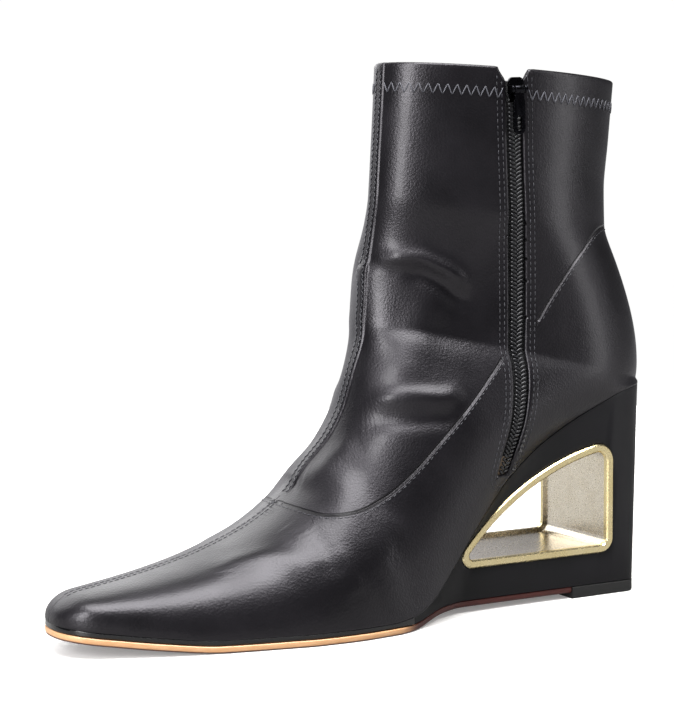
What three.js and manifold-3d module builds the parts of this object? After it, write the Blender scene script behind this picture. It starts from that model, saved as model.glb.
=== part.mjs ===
// A wedge ankle boot for the right foot, in millimetres, standing on the floor z = 0.
// +X points to the toe, +Y to the inner side of the foot and +Z up.
// The origin is on the floor, under the middle of the heel's top piece.
import * as THREE from 'three';
import { mergeVertices } from 'three/addons/utils/BufferGeometryUtils.js';
import Module from 'manifold-3d';

const wasm = await Module();
wasm.setup();

// Sizes of the boot
const length = 240; // back of the seat to the tip of the toe
const ballWidth = 77;
const seatWidth = 44;
const seatRounding = 27; // length over which the back of the seat is rounded
const heelHeight = 80; // top of the wedge at its back
const instepHeight = 88; // front of the boot where the shaft begins
const collarHeight = 198; // front of the collar
const collarDip = 5.4; // how much lower the back of the collar is
const shaftDepth = 101.5; // front to back at the collar
const shaftWidth = 58;
const toeSpring = 6;
const seatBack = -24.6; // the back of the seat stands behind the middle of the top piece
const gap = 0.3; // between pieces that meet

// The upper
const wall = 1.8;
const toeRounding = 15; // length over which the toe narrows to its tip
const toeSquareness = 2.7;
const toeDome = 11; // length over which the top of the toe comes down to its tip
const tapeWidth = 5.2; // raised tape along the front seam
const tapeRaise = 0.6;
const tapeEdge = 0.7; // width of the slope at the tape's edge

// The bottom
const outsoleThickness = 2.4;
const outsoleBevel = 1.0;
const outsoleProud = 0.3;
const randThickness = 1.8;
const topPieceLength = 32.5;
const topPieceThickness = 4.5;
const topPieceCorner = 8; // length over which its back corners are rounded
const wedgeWidth = 42;
const insoleThickness = 2.4;
const insoleMargin = 1.3; // room between the insole's edge and the upper

// The window through the wedge, and its frame
const windowHeight = 41.4;
const windowBack = -1.6; // place of its back edge along X
const windowBottom = 16.5;
const windowNose = 14.3; // from the window's bottom up to the feather line, at its front end
const windowBackRadius = 5.6;
const windowFrontRadius = 4.6;
const windowTopRadius = 6.8;
const windowSlopeRadius = 105; // the long sloping side is a shallow arc
const rimWidth = 3.0;
const rimDepth = 2.2;
const rimProud = 1.2;
const liningWall = 1.8;

// The zip
const slotWidth = 6.6;
const slotNotchWidth = 12; // the V in the topline
const slotNotchDepth = 4;
const zipFoot = 5.4; // the slot's foot stands this far above the feather line
const tapeBackWidth = 13;
const tapeBackThickness = 0.9;
const tapeBackRoom = 0.6; // from the leather to the tape behind it
const tapeBackStart = 6; // the tape starts this far above the bottom of the slot
const coilWidth = 5.2;
const coilSink = 0.5; // how far the coil lies below the leather
const sliderLength = 9;
const sliderWidth = 6;
const sliderThickness = 1.2;
const sliderBelowCollar = 6.8;
const lugThickness = 0.9;
const lugRadius = 1.4;
const pinRadius = 0.6;
const pullLength = 16;
const pullWidth = 4.6;
const pullThickness = 1.0;
const pullNeck = 2.8; // from the pin to where the pull widens

const medial = 1;
const lateral = -1;

// Tables of shares

function table(names, rows) {
  const columns = names.split(' ');
  return rows.map((row) => Object.fromEntries(columns.map((name, i) => [name, row[i]])));
}

// A smooth curve through the values at the knots, which never swings past them
function smooth(knots, values) {
  const spans = knots.slice(1).map((knot, i) => knot - knots[i]);
  const slopes = spans.map((span, i) => (values[i + 1] - values[i]) / span);
  const tangents = values.map((_, i) => {
    const before = slopes[Math.max(i - 1, 0)];
    const after = slopes[Math.min(i, slopes.length - 1)];
    return before * after <= 0 ? 0 : (2 * before * after) / (before + after);
  });
  return (place) => {
    const at = THREE.MathUtils.clamp(place, knots[0], knots.at(-1));
    const i = Math.min(knots.findLastIndex((knot) => knot <= at), spans.length - 1);
    const f = (at - knots[i]) / spans[i];
    const rise = f * f * (3 - 2 * f);
    const bend = spans[i] * f * (1 - f);
    return values[i] * (1 - rise) + values[i + 1] * rise
      + bend * (tangents[i] * (1 - f) - tangents[i + 1] * f);
  };
}

function curves(rows, knots) {
  const names = Object.keys(rows[0]).filter((name) => name !== 'at');
  const places = knots ?? rows.map((row) => row.at);
  return Object.fromEntries(names.map((name) => [name, smooth(places, rows.map((row) => row[name]))]));
}

// 0 at the end of a form, and 1 once the place is past its rounding
function rounded(share, power) {
  if (share <= 0) return 0;
  if (share >= 1) return 1;
  return (1 - (1 - share) ** power) ** (1 / power);
}

// The feather line, where upper and sole meet: at is the share of the length from the seat's back,
// heel the share of the heel's height, spring that of the toe's spring, seat and the two sides the
// shares of the half widths of seat and ball
const feather = curves(table('at heel spring seat medial lateral', [
  [0.00, 1.000, 0.00, 1.00, 0.000, 0.000],
  [0.07, 0.970, 0.00, 1.00, 0.000, 0.000],
  [0.14, 0.888, 0.00, 1.00, 0.000, 0.000],
  [0.22, 0.760, 0.00, 0.82, 0.100, 0.120],
  [0.30, 0.585, 0.00, 0.50, 0.350, 0.400],
  [0.37, 0.368, 0.00, 0.24, 0.605, 0.690],
  [0.42, 0.196, 0.00, 0.09, 0.775, 0.860],
  [0.46, 0.076, 0.00, 0.02, 0.890, 0.940],
  [0.50, 0.014, 0.00, 0.00, 0.955, 0.985],
  [0.54, 0.000, 0.00, 0.00, 0.990, 1.005],
  [0.59, 0.000, 0.00, 0.00, 1.012, 0.995],
  [0.65, 0.000, 0.00, 0.00, 0.990, 0.930],
  [0.71, 0.000, 0.00, 0.00, 0.915, 0.835],
  [0.79, 0.000, 0.02, 0.00, 0.800, 0.690],
  [0.87, 0.000, 0.32, 0.00, 0.650, 0.540],
  [0.94, 0.000, 0.68, 0.00, 0.485, 0.425],
  [1.00, 0.000, 1.00, 0.00, 0.350, 0.335],
]));

const soleStack = outsoleThickness + gap + randThickness + gap;
const tipX = seatBack + length;
const lengthShare = (x) => (x - seatBack) / length;

function featherZ(x) {
  const at = lengthShare(x);
  return soleStack + feather.heel(at) * (heelHeight - soleStack) + feather.spring(at) * toeSpring;
}

// Half width of the feather line, drawn in by inset
function featherEdge(x, side, inset = 0) {
  const at = lengthShare(x);
  const ballShare = side === medial ? feather.medial(at) : feather.lateral(at);
  const half = (feather.seat(at) * seatWidth + ballShare * ballWidth) / 2 - inset;
  const toToe = (tipX - inset - x) / toeRounding;
  const toBack = (x - seatBack - inset) / (seatRounding - inset);
  return half * rounded(toToe, toeSquareness) * rounded(toBack, 2);
}

// Sections of the upper, from the toe to the collar. Each lies in a plane across the boot, from a
// point at its bottom or back to a point at its top or front. Columns ending in Length and Depth
// are shares of length and shaftDepth, Instep and Shaft those of the instep's height and of the
// shaft above it, backUp that of the height of the boot's back, and the half widths are shares of
// those of ball and shaft. widest is the place of the full width from the bottom or back, crest
// the sideways lean of the top as a share of the ball's width, and the columns ending in Full give
// the form of the section's front on each side and of its back: 2 is an ellipse, more is squarer
const sectionRows = table(
  'frontLength frontDepth frontInstep frontShaft backLength backUp medialBall lateralBall '
  + 'medialShaft lateralShaft widest crest medialFull lateralFull backFull', [
    [1.000, 0.000, 0.215, 0.000, 1.000, 0.000, 0.354, 0.340, 0.000, 0.000, 0.20, 0.00, 2.8, 2.2, 2.0],
    [0.931, 0.000, 0.238, 0.000, 0.931, 0.000, 0.515, 0.450, 0.000, 0.000, 0.20, -0.02, 2.8, 2.1, 2.0],
    [0.868, 0.000, 0.262, 0.000, 0.868, 0.000, 0.663, 0.551, 0.000, 0.000, 0.18, -0.04, 2.8, 2.0, 2.0],
    [0.785, 0.000, 0.308, 0.000, 0.785, 0.000, 0.816, 0.706, 0.000, 0.000, 0.17, -0.06, 2.8, 1.9, 2.0],
    [0.704, 0.000, 0.383, 0.000, 0.711, 0.000, 0.925, 0.845, 0.000, 0.000, 0.16, -0.07, 2.6, 1.85, 2.0],
    [0.650, 0.000, 0.462, 0.000, 0.657, 0.000, 0.994, 0.930, 0.000, 0.000, 0.16, -0.07, 2.4, 1.85, 2.0],
    [0.611, 0.000, 0.548, 0.000, 0.607, 0.000, 1.020, 0.997, 0.000, 0.000, 0.17, -0.06, 2.25, 1.85, 2.0],
    [0.555, 0.070, 0.646, 0.000, 0.545, 0.000, 0.955, 0.970, 0.067, 0.068, 0.20, -0.05, 2.15, 1.85, 2.0],
    [0.470, 0.200, 0.748, 0.000, 0.470, 0.000, 0.800, 0.825, 0.180, 0.190, 0.26, -0.03, 2.0, 1.85, 2.0],
    [0.370, 0.382, 0.866, 0.000, 0.371, 0.000, 0.610, 0.640, 0.335, 0.360, 0.33, -0.02, 2.0, 1.85, 2.0],
    [0.261, 0.611, 1.000, 0.000, 0.250, 0.000, 0.403, 0.422, 0.534, 0.560, 0.38, 0.00, 2.0, 1.90, 1.95],
    [0.152, 0.830, 1.000, 0.100, 0.117, 0.000, 0.218, 0.241, 0.676, 0.765, 0.37, 0.00, 2.0, 2.40, 1.9],
    [0.075, 0.993, 1.000, 0.182, 0.000, 0.000, 0.101, 0.123, 0.762, 0.955, 0.35, -0.02, 2.0, 2.75, 1.9],
    [0.035, 1.077, 1.000, 0.250, -0.007, 0.089, 0.047, 0.059, 0.821, 1.100, 0.36, -0.02, 2.0, 2.75, 1.85],
    [0.000, 1.148, 1.000, 0.345, 0.003, 0.213, 0.000, 0.000, 0.876, 1.190, 0.38, -0.03, 2.0, 2.7, 1.8],
    [0.000, 1.133, 1.000, 0.464, 0.029, 0.373, 0.000, 0.000, 0.869, 1.030, 0.42, -0.02, 2.0, 2.15, 1.75],
    [0.000, 1.125, 1.000, 0.582, 0.058, 0.524, 0.000, 0.000, 0.862, 0.950, 0.46, 0.00, 2.0, 2.0, 1.75],
    [0.000, 1.117, 1.000, 0.691, 0.059, 0.648, 0.000, 0.000, 0.862, 0.930, 0.48, 0.00, 2.0, 2.0, 1.75],
    [0.000, 1.106, 1.000, 0.836, 0.051, 0.817, 0.000, 0.000, 0.876, 0.950, 0.49, 0.00, 2.0, 2.0, 1.75],
    [0.000, 1.095, 1.000, 1.000, 0.044, 1.000, 0.000, 0.000, 0.897, 0.972, 0.50, 0.00, 2.0, 2.0, 1.8],
  ]);
const shape = curves(sectionRows, sectionRows.map((_, i) => i));
const seatRow = sectionRows.findIndex((row) => row.backLength === 0);
const lastRow = sectionRows.length - 1;
const toeRows = 3; // rows over which the inner tip of the toe is drawn in

function frontPoint(u) {
  const x = seatBack + shape.frontLength(u) * length + shape.frontDepth(u) * shaftDepth;
  const z = shape.frontInstep(u) * instepHeight
    + shape.frontShaft(u) * (collarHeight - instepHeight);
  return new THREE.Vector2(x, z);
}

function backPoint(u) {
  const x = seatBack + shape.backLength(u) * length;
  if (u <= seatRow) return new THREE.Vector2(x, featherZ(x));
  return new THREE.Vector2(x, heelHeight + shape.backUp(u) * (collarHeight - collarDip - heelHeight));
}

// The direction along a profile from the toe to the collar, turned a quarter turn to the left
function leftOf(profile, u) {
  const reach = 0.05;
  const ahead = profile(Math.min(u + reach, lastRow));
  const along = ahead.sub(profile(Math.max(u - reach, 0))).normalize();
  return new THREE.Vector2(-along.y, along.x);
}

// The section at u, drawn in by inset to give the inner side of the wall
function section(u, inset = 0) {
  const pastToe = THREE.MathUtils.clamp(u / toeRows, 0, 1);
  const drawnIn = inset * (1 - pastToe);
  const front = frontPoint(u);
  const inward = leftOf(frontPoint, u).multiplyScalar(inset);
  front.x += inward.x * pastToe - drawnIn;
  front.y += inward.y;
  const back = backPoint(u);
  if (u > seatRow) {
    back.addScaledVector(leftOf(backPoint, u), -inset);
  } else {
    back.x += inset * THREE.MathUtils.clamp(u - seatRow + 1, 0, 1) - drawnIn;
    back.y = featherZ(back.x);
  }
  const dome = rounded((tipX - inset - front.x) / toeDome, 2.2);
  front.y = back.y + (front.y - back.y) * dome;
  const edge = (side) => (u >= seatRow ? 0 : featherEdge(back.x, side, inset));
  const half = (side) => {
    const ball = side === medial ? shape.medialBall(u) : shape.lateralBall(u);
    const shaft = side === medial ? shape.medialShaft(u) : shape.lateralShaft(u);
    const full = (ball * ballWidth + shaft * shaftWidth) / 2 - inset;
    const tip = rounded((tipX - inset - front.x) / toeRounding, toeSquareness);
    return Math.max(full * tip, edge(side) * 1.01);
  };
  return {
    front,
    back,
    edge,
    half,
    widest: shape.widest(u),
    crest: shape.crest(u) * ballWidth,
    frontPower: (side) => 2 / (side === medial ? shape.medialFull(u) : shape.lateralFull(u)),
    backPower: 2 / shape.backFull(u),
  };
}

// Angle at which a half section starts on the feather line: 0 once it is closed at the back
function startAngle(cut, side) {
  const share = cut.half(side) > 0 ? cut.edge(side) / cut.half(side) : 0.99;
  return Math.asin(Math.min(share, 0.99) ** (1 / cut.backPower));
}

function pointOnSection(cut, side, along, across) {
  const x = THREE.MathUtils.lerp(cut.back.x, cut.front.x, along);
  const z = THREE.MathUtils.lerp(cut.back.y, cut.front.y, along);
  return new THREE.Vector3(x, side * across + cut.crest * along, z);
}

// Points of a half section from its crest to the feather line or the back
function halfSection(u, side, inset) {
  const cut = section(u, inset);
  const start = startAngle(cut, side);
  const steps = 72;
  const points = [];
  for (let i = 0; i <= steps; i += 1) {
    const angle = Math.PI - ((Math.PI - start) * i) / steps;
    const inFront = angle > Math.PI / 2;
    const power = inFront ? cut.frontPower(side) : cut.backPower;
    const across = cut.half(side) * Math.sin(angle) ** power;
    const reach = Math.abs(Math.cos(angle));
    const along = inFront
      ? cut.widest + (1 - cut.widest) * reach ** power
      : cut.widest * (1 - (reach / Math.cos(start)) ** power);
    points.push(pointOnSection(cut, side, along, across));
  }
  return points;
}

// Half width of the upper at a place seen from the side
function sideY(x, z, side = medial, inset = 0) {
  const place = new THREE.Vector2(x, z);
  let low = 0;
  let high = lastRow;
  for (let i = 0; i < 40; i += 1) {
    const middle = (low + high) / 2;
    const cut = section(middle, inset);
    const ahead = cut.front.clone().sub(cut.back).cross(place.clone().sub(cut.back)) > 0;
    if (ahead) low = middle;
    else high = middle;
  }
  const cut = section(low, inset);
  const span = cut.front.clone().sub(cut.back);
  const along = THREE.MathUtils.clamp(place.clone().sub(cut.back).dot(span) / span.lengthSq(), 0, 1);
  const inFront = along >= cut.widest;
  const power = inFront ? cut.frontPower(side) : cut.backPower;
  const reach = inFront
    ? ((along - cut.widest) / (1 - cut.widest)) ** (1 / power)
    : (1 - along / cut.widest) ** (1 / power) * Math.cos(startAngle(cut, side));
  const across = cut.half(side) * Math.sqrt(Math.max(0, 1 - reach * reach)) ** power;
  return side * across + cut.crest * along;
}

// Solids from points and faces

class Faces {
  constructor() {
    this.values = [];
  }

  triangle(a, b, c) {
    for (const point of [a, b, c]) this.values.push(point.x, point.y, point.z);
  }

  quad(a, b, c, d) {
    this.triangle(a, b, c);
    this.triangle(a, c, d);
  }

  // One closed body with shared corners, its faces turned out
  geometry() {
    const loose = new THREE.BufferGeometry();
    loose.setAttribute('position', new THREE.Float32BufferAttribute(this.values, 3));
    return closedBody(loose);
  }
}

function closedBody(loose) {
  for (const extra of ['normal', 'uv']) loose.deleteAttribute(extra);
  const merged = mergeVertices(loose, 1e-3);
  const position = merged.getAttribute('position');
  const corner = (index) => new THREE.Vector3().fromBufferAttribute(position, index);
  const kept = [];
  let volume = 0;
  for (let i = 0; i < merged.index.count; i += 3) {
    const [a, b, c] = [0, 1, 2].map((k) => merged.index.getX(i + k));
    if (a === b || b === c || c === a) continue;
    kept.push(a, b, c);
    volume += corner(a).dot(corner(b).cross(corner(c)));
  }
  merged.setIndex(volume > 0 ? kept : kept.reverse());
  return merged;
}

function toManifold(geometry) {
  const body = closedBody(geometry);
  const vertProperties = new Float32Array(body.getAttribute('position').array);
  const triVerts = new Uint32Array(body.index.array);
  return new wasm.Manifold(new wasm.Mesh({ numProp: 3, vertProperties, triVerts }));
}

function fromManifold(body) {
  const mesh = body.getMesh();
  const geometry = new THREE.BufferGeometry();
  geometry.setAttribute('position', new THREE.Float32BufferAttribute(mesh.vertProperties, 3));
  geometry.setIndex(Array.from(mesh.triVerts));
  return geometry;
}

// A body through closed rings of as many points each; its two ends are closed by fans,
// or by rungs from side to side where the rings run down one side and back up the other
function loft(rings, rungs = false, round = false) {
  const faces = new Faces();
  const count = rings[0].length;
  const next = (k) => (k + 1) % count;
  const lastRing = rings.length - 1;
  for (let i = 0; i < lastRing + (round ? 1 : 0); i += 1) {
    const near = rings[i];
    const far = rings[(i + 1) % rings.length];
    for (let k = 0; k < count; k += 1) faces.quad(near[k], near[next(k)], far[next(k)], far[k]);
  }
  if (round) return faces.geometry();
  const last = rings[lastRing];
  const first = rings[0];
  if (rungs) {
    for (let k = 0; k < count / 2 - 1; k += 1) {
      const other = count - 1 - k;
      faces.quad(last[k], last[k + 1], last[other - 1], last[other]);
      faces.quad(first[other], first[other - 1], first[k + 1], first[k]);
    }
  } else {
    for (let k = 1; k < count - 1; k += 1) {
      faces.triangle(last[0], last[k], last[k + 1]);
      faces.triangle(first[0], first[k + 1], first[k]);
    }
  }
  return faces.geometry();
}

// A layer of the bottom: each level gives the point for a place along the boot and a side
function layer(places, levels) {
  const ring = (level) => [
    ...places.map((place) => level(place, medial)),
    ...places.toReversed().map((place) => level(place, lateral)),
  ];
  return loft(levels.map(ring), true);
}

// Places from one end to the other, closer together where the ends are rounded
function places(from, to, count, roundFrom, roundTo) {
  const list = [];
  const quarter = 6;
  for (let i = 0; i < quarter && roundFrom; i += 1) {
    list.push(from + roundFrom * (1 - Math.cos((i / quarter) * (Math.PI / 2))));
  }
  const start = from + roundFrom;
  const end = to - roundTo;
  for (let i = 0; i <= count; i += 1) list.push(THREE.MathUtils.lerp(start, end, i / count));
  for (let i = 1; i <= quarter && roundTo; i += 1) {
    list.push(end + roundTo * Math.sin((i / quarter) * (Math.PI / 2)));
  }
  return list;
}

function pieceOf(name, geometry, color, roughness, metalness = 0) {
  const material = new THREE.MeshStandardMaterial({ color, roughness, metalness });
  const mesh = new THREE.Mesh(geometry, material);
  mesh.name = name;
  return mesh;
}

// The upper

const columns = 14; // from the crest to the feather line
const toeStations = [0, 0.02, 0.08, 0.2, 0.4, 0.7, 1];
const seatStations = [0.25, 0.5, 0.75, 0.9, 0.97].map((share) => seatRow - 1 + share);
const waistRow = 8; // behind it the feather line bends more, and the stations are closer

function upperStations() {
  const stations = [...toeStations];
  for (let u = 1.5; u < waistRow; u += 0.5) stations.push(u);
  for (let u = waistRow; u <= seatRow - 1; u += 0.25) stations.push(u);
  stations.push(...seatStations, seatRow, seatRow + 0.35, seatRow + 0.7);
  for (let u = seatRow + 1; u <= lastRow; u += 0.5) stations.push(u);
  return stations;
}

// Points at set distances from the crest: the tape and its edge first, then even steps
function spread(points) {
  const reached = [0];
  for (let i = 1; i < points.length; i += 1) {
    reached.push(reached[i - 1] + points[i].distanceTo(points[i - 1]));
  }
  const total = reached.at(-1);
  const tape = Math.min(tapeWidth / 2, total * 0.1);
  const edge = Math.min(tape + tapeEdge, total * 0.15);
  const wanted = [0, tape, edge];
  for (let k = 1; k <= columns - 2; k += 1) wanted.push(edge + ((total - edge) * k) / (columns - 2));
  return wanted.map((distance) => {
    const i = Math.min(Math.max(reached.findIndex((value) => value >= distance - 1e-9), 1), points.length - 1);
    const f = reached[i] > reached[i - 1] ? (distance - reached[i - 1]) / (reached[i] - reached[i - 1]) : 0;
    return points[i - 1].clone().lerp(points[i], Math.min(f, 1));
  });
}

// One row of the wall's outer or inner side, from the lateral edge over the crest to the medial one
function wallRow(u, inset) {
  const lateralHalf = spread(halfSection(u, lateral, inset));
  const medialHalf = spread(halfSection(u, medial, inset));
  const row = [...lateralHalf.toReversed(), ...medialHalf.slice(1)];
  const tapeStart = 6.2; // the tape runs from the vamp seam up to the collar
  if (inset === 0 && u > tapeStart) {
    const inward = leftOf(frontPoint, u);
    const raise = new THREE.Vector3(-inward.x, 0, -inward.y).multiplyScalar(tapeRaise);
    for (const k of [columns - 1, columns, columns + 1]) row[k].add(raise);
  }
  return row;
}

function upperWall() {
  const stations = upperStations();
  const outer = stations.map((u) => wallRow(u, 0));
  const inner = stations.map((u) => wallRow(u, wall));
  const faces = new Faces();
  const last = stations.length - 1;
  const edge = columns * 2;
  for (let i = 0; i < last; i += 1) {
    for (let j = 0; j < edge; j += 1) {
      faces.quad(outer[i][j], outer[i + 1][j], outer[i + 1][j + 1], outer[i][j + 1]);
      faces.quad(inner[i][j + 1], inner[i + 1][j + 1], inner[i + 1][j], inner[i][j]);
    }
    if (stations[i] < seatRow) {
      faces.quad(outer[i][edge], outer[i + 1][edge], inner[i + 1][edge], inner[i][edge]);
      faces.quad(outer[i + 1][0], outer[i][0], inner[i][0], inner[i + 1][0]);
    }
  }
  for (let j = 0; j < edge; j += 1) {
    faces.quad(outer[last][j + 1], outer[last][j], inner[last][j], inner[last][j + 1]);
  }
  return faces.geometry();
}

// The zip's line on the medial side: at is the share of the way up from its foot to the collar,
// and depth the share of shaftDepth from the seat's back
const zip = curves(table('at depth', [
  [0.000, 0.750],
  [0.037, 0.738],
  [0.142, 0.697],
  [0.283, 0.671],
  [0.450, 0.663],
  [0.624, 0.673],
  [0.813, 0.685],
  [1.000, 0.695],
]));
const zipX = (share) => seatBack + zip.depth(share) * shaftDepth;
const zipFootZ = featherZ(zipX(0)) + zipFoot;
const collarRim = section(lastRow);
const rimShare = (zipX(1) - collarRim.back.x) / (collarRim.front.x - collarRim.back.x);
const zipTopZ = THREE.MathUtils.lerp(collarRim.back.y, collarRim.front.y, rimShare);
const zipHeight = zipTopZ - zipFootZ;
const zipPlace = (share) => new THREE.Vector3(zipX(share), 0, zipFootZ + share * zipHeight);

// A point beside the zip's line, sunk below the leather, and the direction out of the leather
function besideZip(share, aside, sink) {
  const reach = 0.5;
  const point = zipPlace(share);
  const along = zipPlace(share + 0.01).sub(zipPlace(share - 0.01)).normalize();
  point.x -= along.z * aside;
  point.z += along.x * aside;
  const slopeX = (sideY(point.x + reach, point.z) - sideY(point.x - reach, point.z)) / (2 * reach);
  const slopeZ = (sideY(point.x, point.z + reach) - sideY(point.x, point.z - reach)) / (2 * reach);
  const out = new THREE.Vector3(-slopeX, 1, -slopeZ).normalize();
  point.y = sideY(point.x, point.z);
  return { point: point.addScaledVector(out, -sink), out, along };
}

// A strip along the zip's line between two depths below the leather
function zipStrip(shares, halfWidth, top, bottom) {
  const rings = shares.map((share) => {
    const half = typeof halfWidth === 'function' ? halfWidth(share) : halfWidth;
    const asides = [-half, -half / 2, 0, half / 2, half];
    return [
      ...asides.map((aside) => besideZip(share, aside, top).point),
      ...asides.toReversed().map((aside) => besideZip(share, aside, bottom).point),
    ];
  });
  return loft(rings, true);
}

function evenShares(from, to, count) {
  return Array.from({ length: count + 1 }, (_, i) => THREE.MathUtils.lerp(from, to, i / count));
}

const zipTop = 1 - slotNotchDepth / zipHeight; // the coil and its tape stop at the bottom of the V

function upper() {
  const clear = 2;
  const shares = [...evenShares(0, zipTop, 24), 1 + (clear * 2) / zipHeight];
  const half = (share) => (share > zipTop ? slotNotchWidth : slotWidth) / 2;
  const slot = zipStrip(shares, half, -clear, wall + clear);
  const body = toManifold(upperWall()).subtract(toManifold(slot));
  return pieceOf('upper', fromManifold(body), 0x1c1b1e, 0.42);
}

// The bottom layers

// flare is how far the wedge's foot has widened from its flat sides to the feather line, and lift
// the share by which the waist of the outsole stands off the floor
const waist = curves(table('at flare lift', [
  [0.00, 0.00, 1.00],
  [0.37, 0.03, 1.00],
  [0.41, 0.28, 0.90],
  [0.45, 0.60, 0.45],
  [0.48, 0.84, 0.08],
  [0.50, 0.95, 0.00],
  [0.52, 1.00, 0.00],
]));
const wedgeTip = seatBack + 0.497 * length;
const wedgeFootBack = -topPieceLength / 2;

// Half width at the foot of the wedge, and of the sole under it
function footEdge(x, side, inset = 0) {
  const flat = wedgeWidth / 2;
  const flare = waist.flare(lengthShare(x));
  const toTip = rounded((tipX - x) / toeRounding, toeSquareness);
  const wide = toTip < 1 ? featherEdge(x, side) : flat + flare * (featherEdge(x, side) - flat);
  const corner = rounded((x - wedgeFootBack - inset) / topPieceCorner, 2.6);
  return (wide - inset) * corner;
}

function soleBottom(x) {
  const at = lengthShare(x);
  const waistLift = topPieceThickness - outsoleThickness;
  return waist.lift(at) * waistLift + feather.spring(at) * toeSpring;
}

const soleTop = (x) => soleBottom(x) + outsoleThickness;

function topPiece() {
  const front = topPieceLength / 2;
  const along = places(wedgeFootBack, front, 4, topPieceCorner, 0);
  const level = (z) => (x, side) => new THREE.Vector3(x, side * footEdge(x, side), z);
  return pieceOf('heel_top_piece', layer(along, [level(0), level(topPieceThickness)]), 0x151515, 0.7);
}

function outsole() {
  const back = topPieceLength / 2 + gap;
  const along = places(back, tipX + outsoleProud, 30, 0, toeRounding);
  const waistInset = 0.5;
  const level = (height, inset) => (x, side) => {
    const proud = waist.flare(lengthShare(x)) * (outsoleProud + waistInset) - waistInset;
    const inner = Math.min(x, tipX - 0.01);
    const edge = featherEdge(inner, side) > 0 ? footEdge(inner, side) + proud - inset : 0;
    const end = Math.min(x, tipX + outsoleProud - inset);
    return new THREE.Vector3(end, side * Math.max(edge, 0), soleBottom(x) + height);
  };
  const levels = [
    level(0, outsoleBevel),
    level(outsoleBevel * 0.8, 0),
    level(outsoleThickness, 0),
  ];
  return pieceOf('outsole', layer(along, levels), 0xd9a56a, 0.5);
}

function rand() {
  const along = places(wedgeTip + gap, tipX, 20, 0, toeRounding);
  const level = (height) => (x, side) => {
    const edge = featherEdge(x, side);
    return new THREE.Vector3(x, side * edge, height(x));
  };
  const levels = [level((x) => soleTop(x) + gap), level((x) => featherZ(x) - gap)];
  return pieceOf('rand', layer(along, levels), 0x0d0d0f, 0.18);
}

function insole() {
  const inset = wall + gap + insoleMargin;
  const along = places(seatBack + inset, tipX - inset, 26, seatRounding - inset, toeRounding);
  const level = (height) => (x, side) => (
    new THREE.Vector3(x, side * featherEdge(x, side, inset), featherZ(x) + height));
  return pieceOf('insole', layer(along, [level(0), level(insoleThickness)]), 0x8d7a66, 0.85);
}

// The place along the wedge's slope where the feather line is at a height
function slopeAt(height) {
  let back = seatBack;
  let front = wedgeTip;
  for (let i = 0; i < 40; i += 1) {
    const middle = (back + front) / 2;
    if (featherZ(middle) > height) back = middle;
    else front = middle;
  }
  return back;
}

// The window's outline, drawn in by inset: three round corners, and a shallow arc under the foot
function windowOutline(inset) {
  const end = slopeAt(windowBottom + windowNose);
  const top = windowBottom + windowHeight;
  const back = new THREE.Vector2(windowBack + windowBackRadius, windowBottom + windowBackRadius);
  const front = new THREE.Vector2(end - windowFrontRadius, windowBottom + windowFrontRadius);
  const upperCorner = new THREE.Vector2(windowBack + windowTopRadius, top - windowTopRadius);
  const toFront = windowSlopeRadius - windowFrontRadius;
  const toTop = windowSlopeRadius - windowTopRadius;
  const chord = upperCorner.clone().sub(front);
  const share = (chord.lengthSq() + toFront ** 2 - toTop ** 2) / (2 * chord.lengthSq());
  const height = Math.sqrt(toFront ** 2 - share ** 2 * chord.lengthSq());
  const centre = front.clone().addScaledVector(chord, share);
  centre.addScaledVector(new THREE.Vector2(-chord.y, chord.x).normalize(), height);
  const slopeStart = front.clone().sub(centre).angle();
  const slopeEnd = upperCorner.clone().sub(centre).angle();
  const arcs = [
    [back, windowBackRadius, Math.PI, Math.PI * 1.5, 5],
    [front, windowFrontRadius, Math.PI * 1.5, Math.PI * 2 + slopeStart, 7],
    [centre, windowSlopeRadius, slopeStart, slopeEnd, 12],
    [upperCorner, windowTopRadius, slopeEnd, Math.PI, 7],
  ];
  return arcs.flatMap(([middle, radius, from, to, steps]) => (
    Array.from({ length: steps }, (_, i) => {
      const angle = THREE.MathUtils.lerp(from, to, (i + 0.5) / steps);
      const reach = radius - inset;
      return new THREE.Vector2(middle.x + reach * Math.cos(angle), middle.y + reach * Math.sin(angle));
    })));
}

function windowPrism(inset, halfDepth) {
  const outline = windowOutline(inset);
  const ring = (y) => outline.map(({ x, y: z }) => new THREE.Vector3(x, y, z));
  return loft([ring(-halfDepth), ring(halfDepth)]);
}

function wedge() {
  const along = places(0, 1, 22, 0.16, 0);
  const level = (rise) => (share, side) => {
    const footX = THREE.MathUtils.lerp(wedgeFootBack, wedgeTip, share);
    const topX = THREE.MathUtils.lerp(seatBack, wedgeTip, share);
    const footY = footEdge(footX, side);
    const topY = featherEdge(topX, side);
    const footZ = (footX > topPieceLength / 2 ? soleTop(footX) : topPieceThickness) + gap;
    const flareRise = rise ** (share < 0.2 ? 1 : 6);
    return new THREE.Vector3(
      THREE.MathUtils.lerp(footX, topX, rise),
      side * THREE.MathUtils.lerp(footY, topY, flareRise),
      THREE.MathUtils.lerp(footZ, featherZ(topX) - gap, rise),
    );
  };
  const rises = [0, 0.4, 0.65, 0.78, 0.88, 0.95, 1];
  const body = toManifold(layer(along, rises.map(level)));
  const opening = toManifold(windowPrism(-gap, wedgeWidth));
  return pieceOf('wedge', fromManifold(body.subtract(opening)), 0x19191c, 0.6);
}

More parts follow.
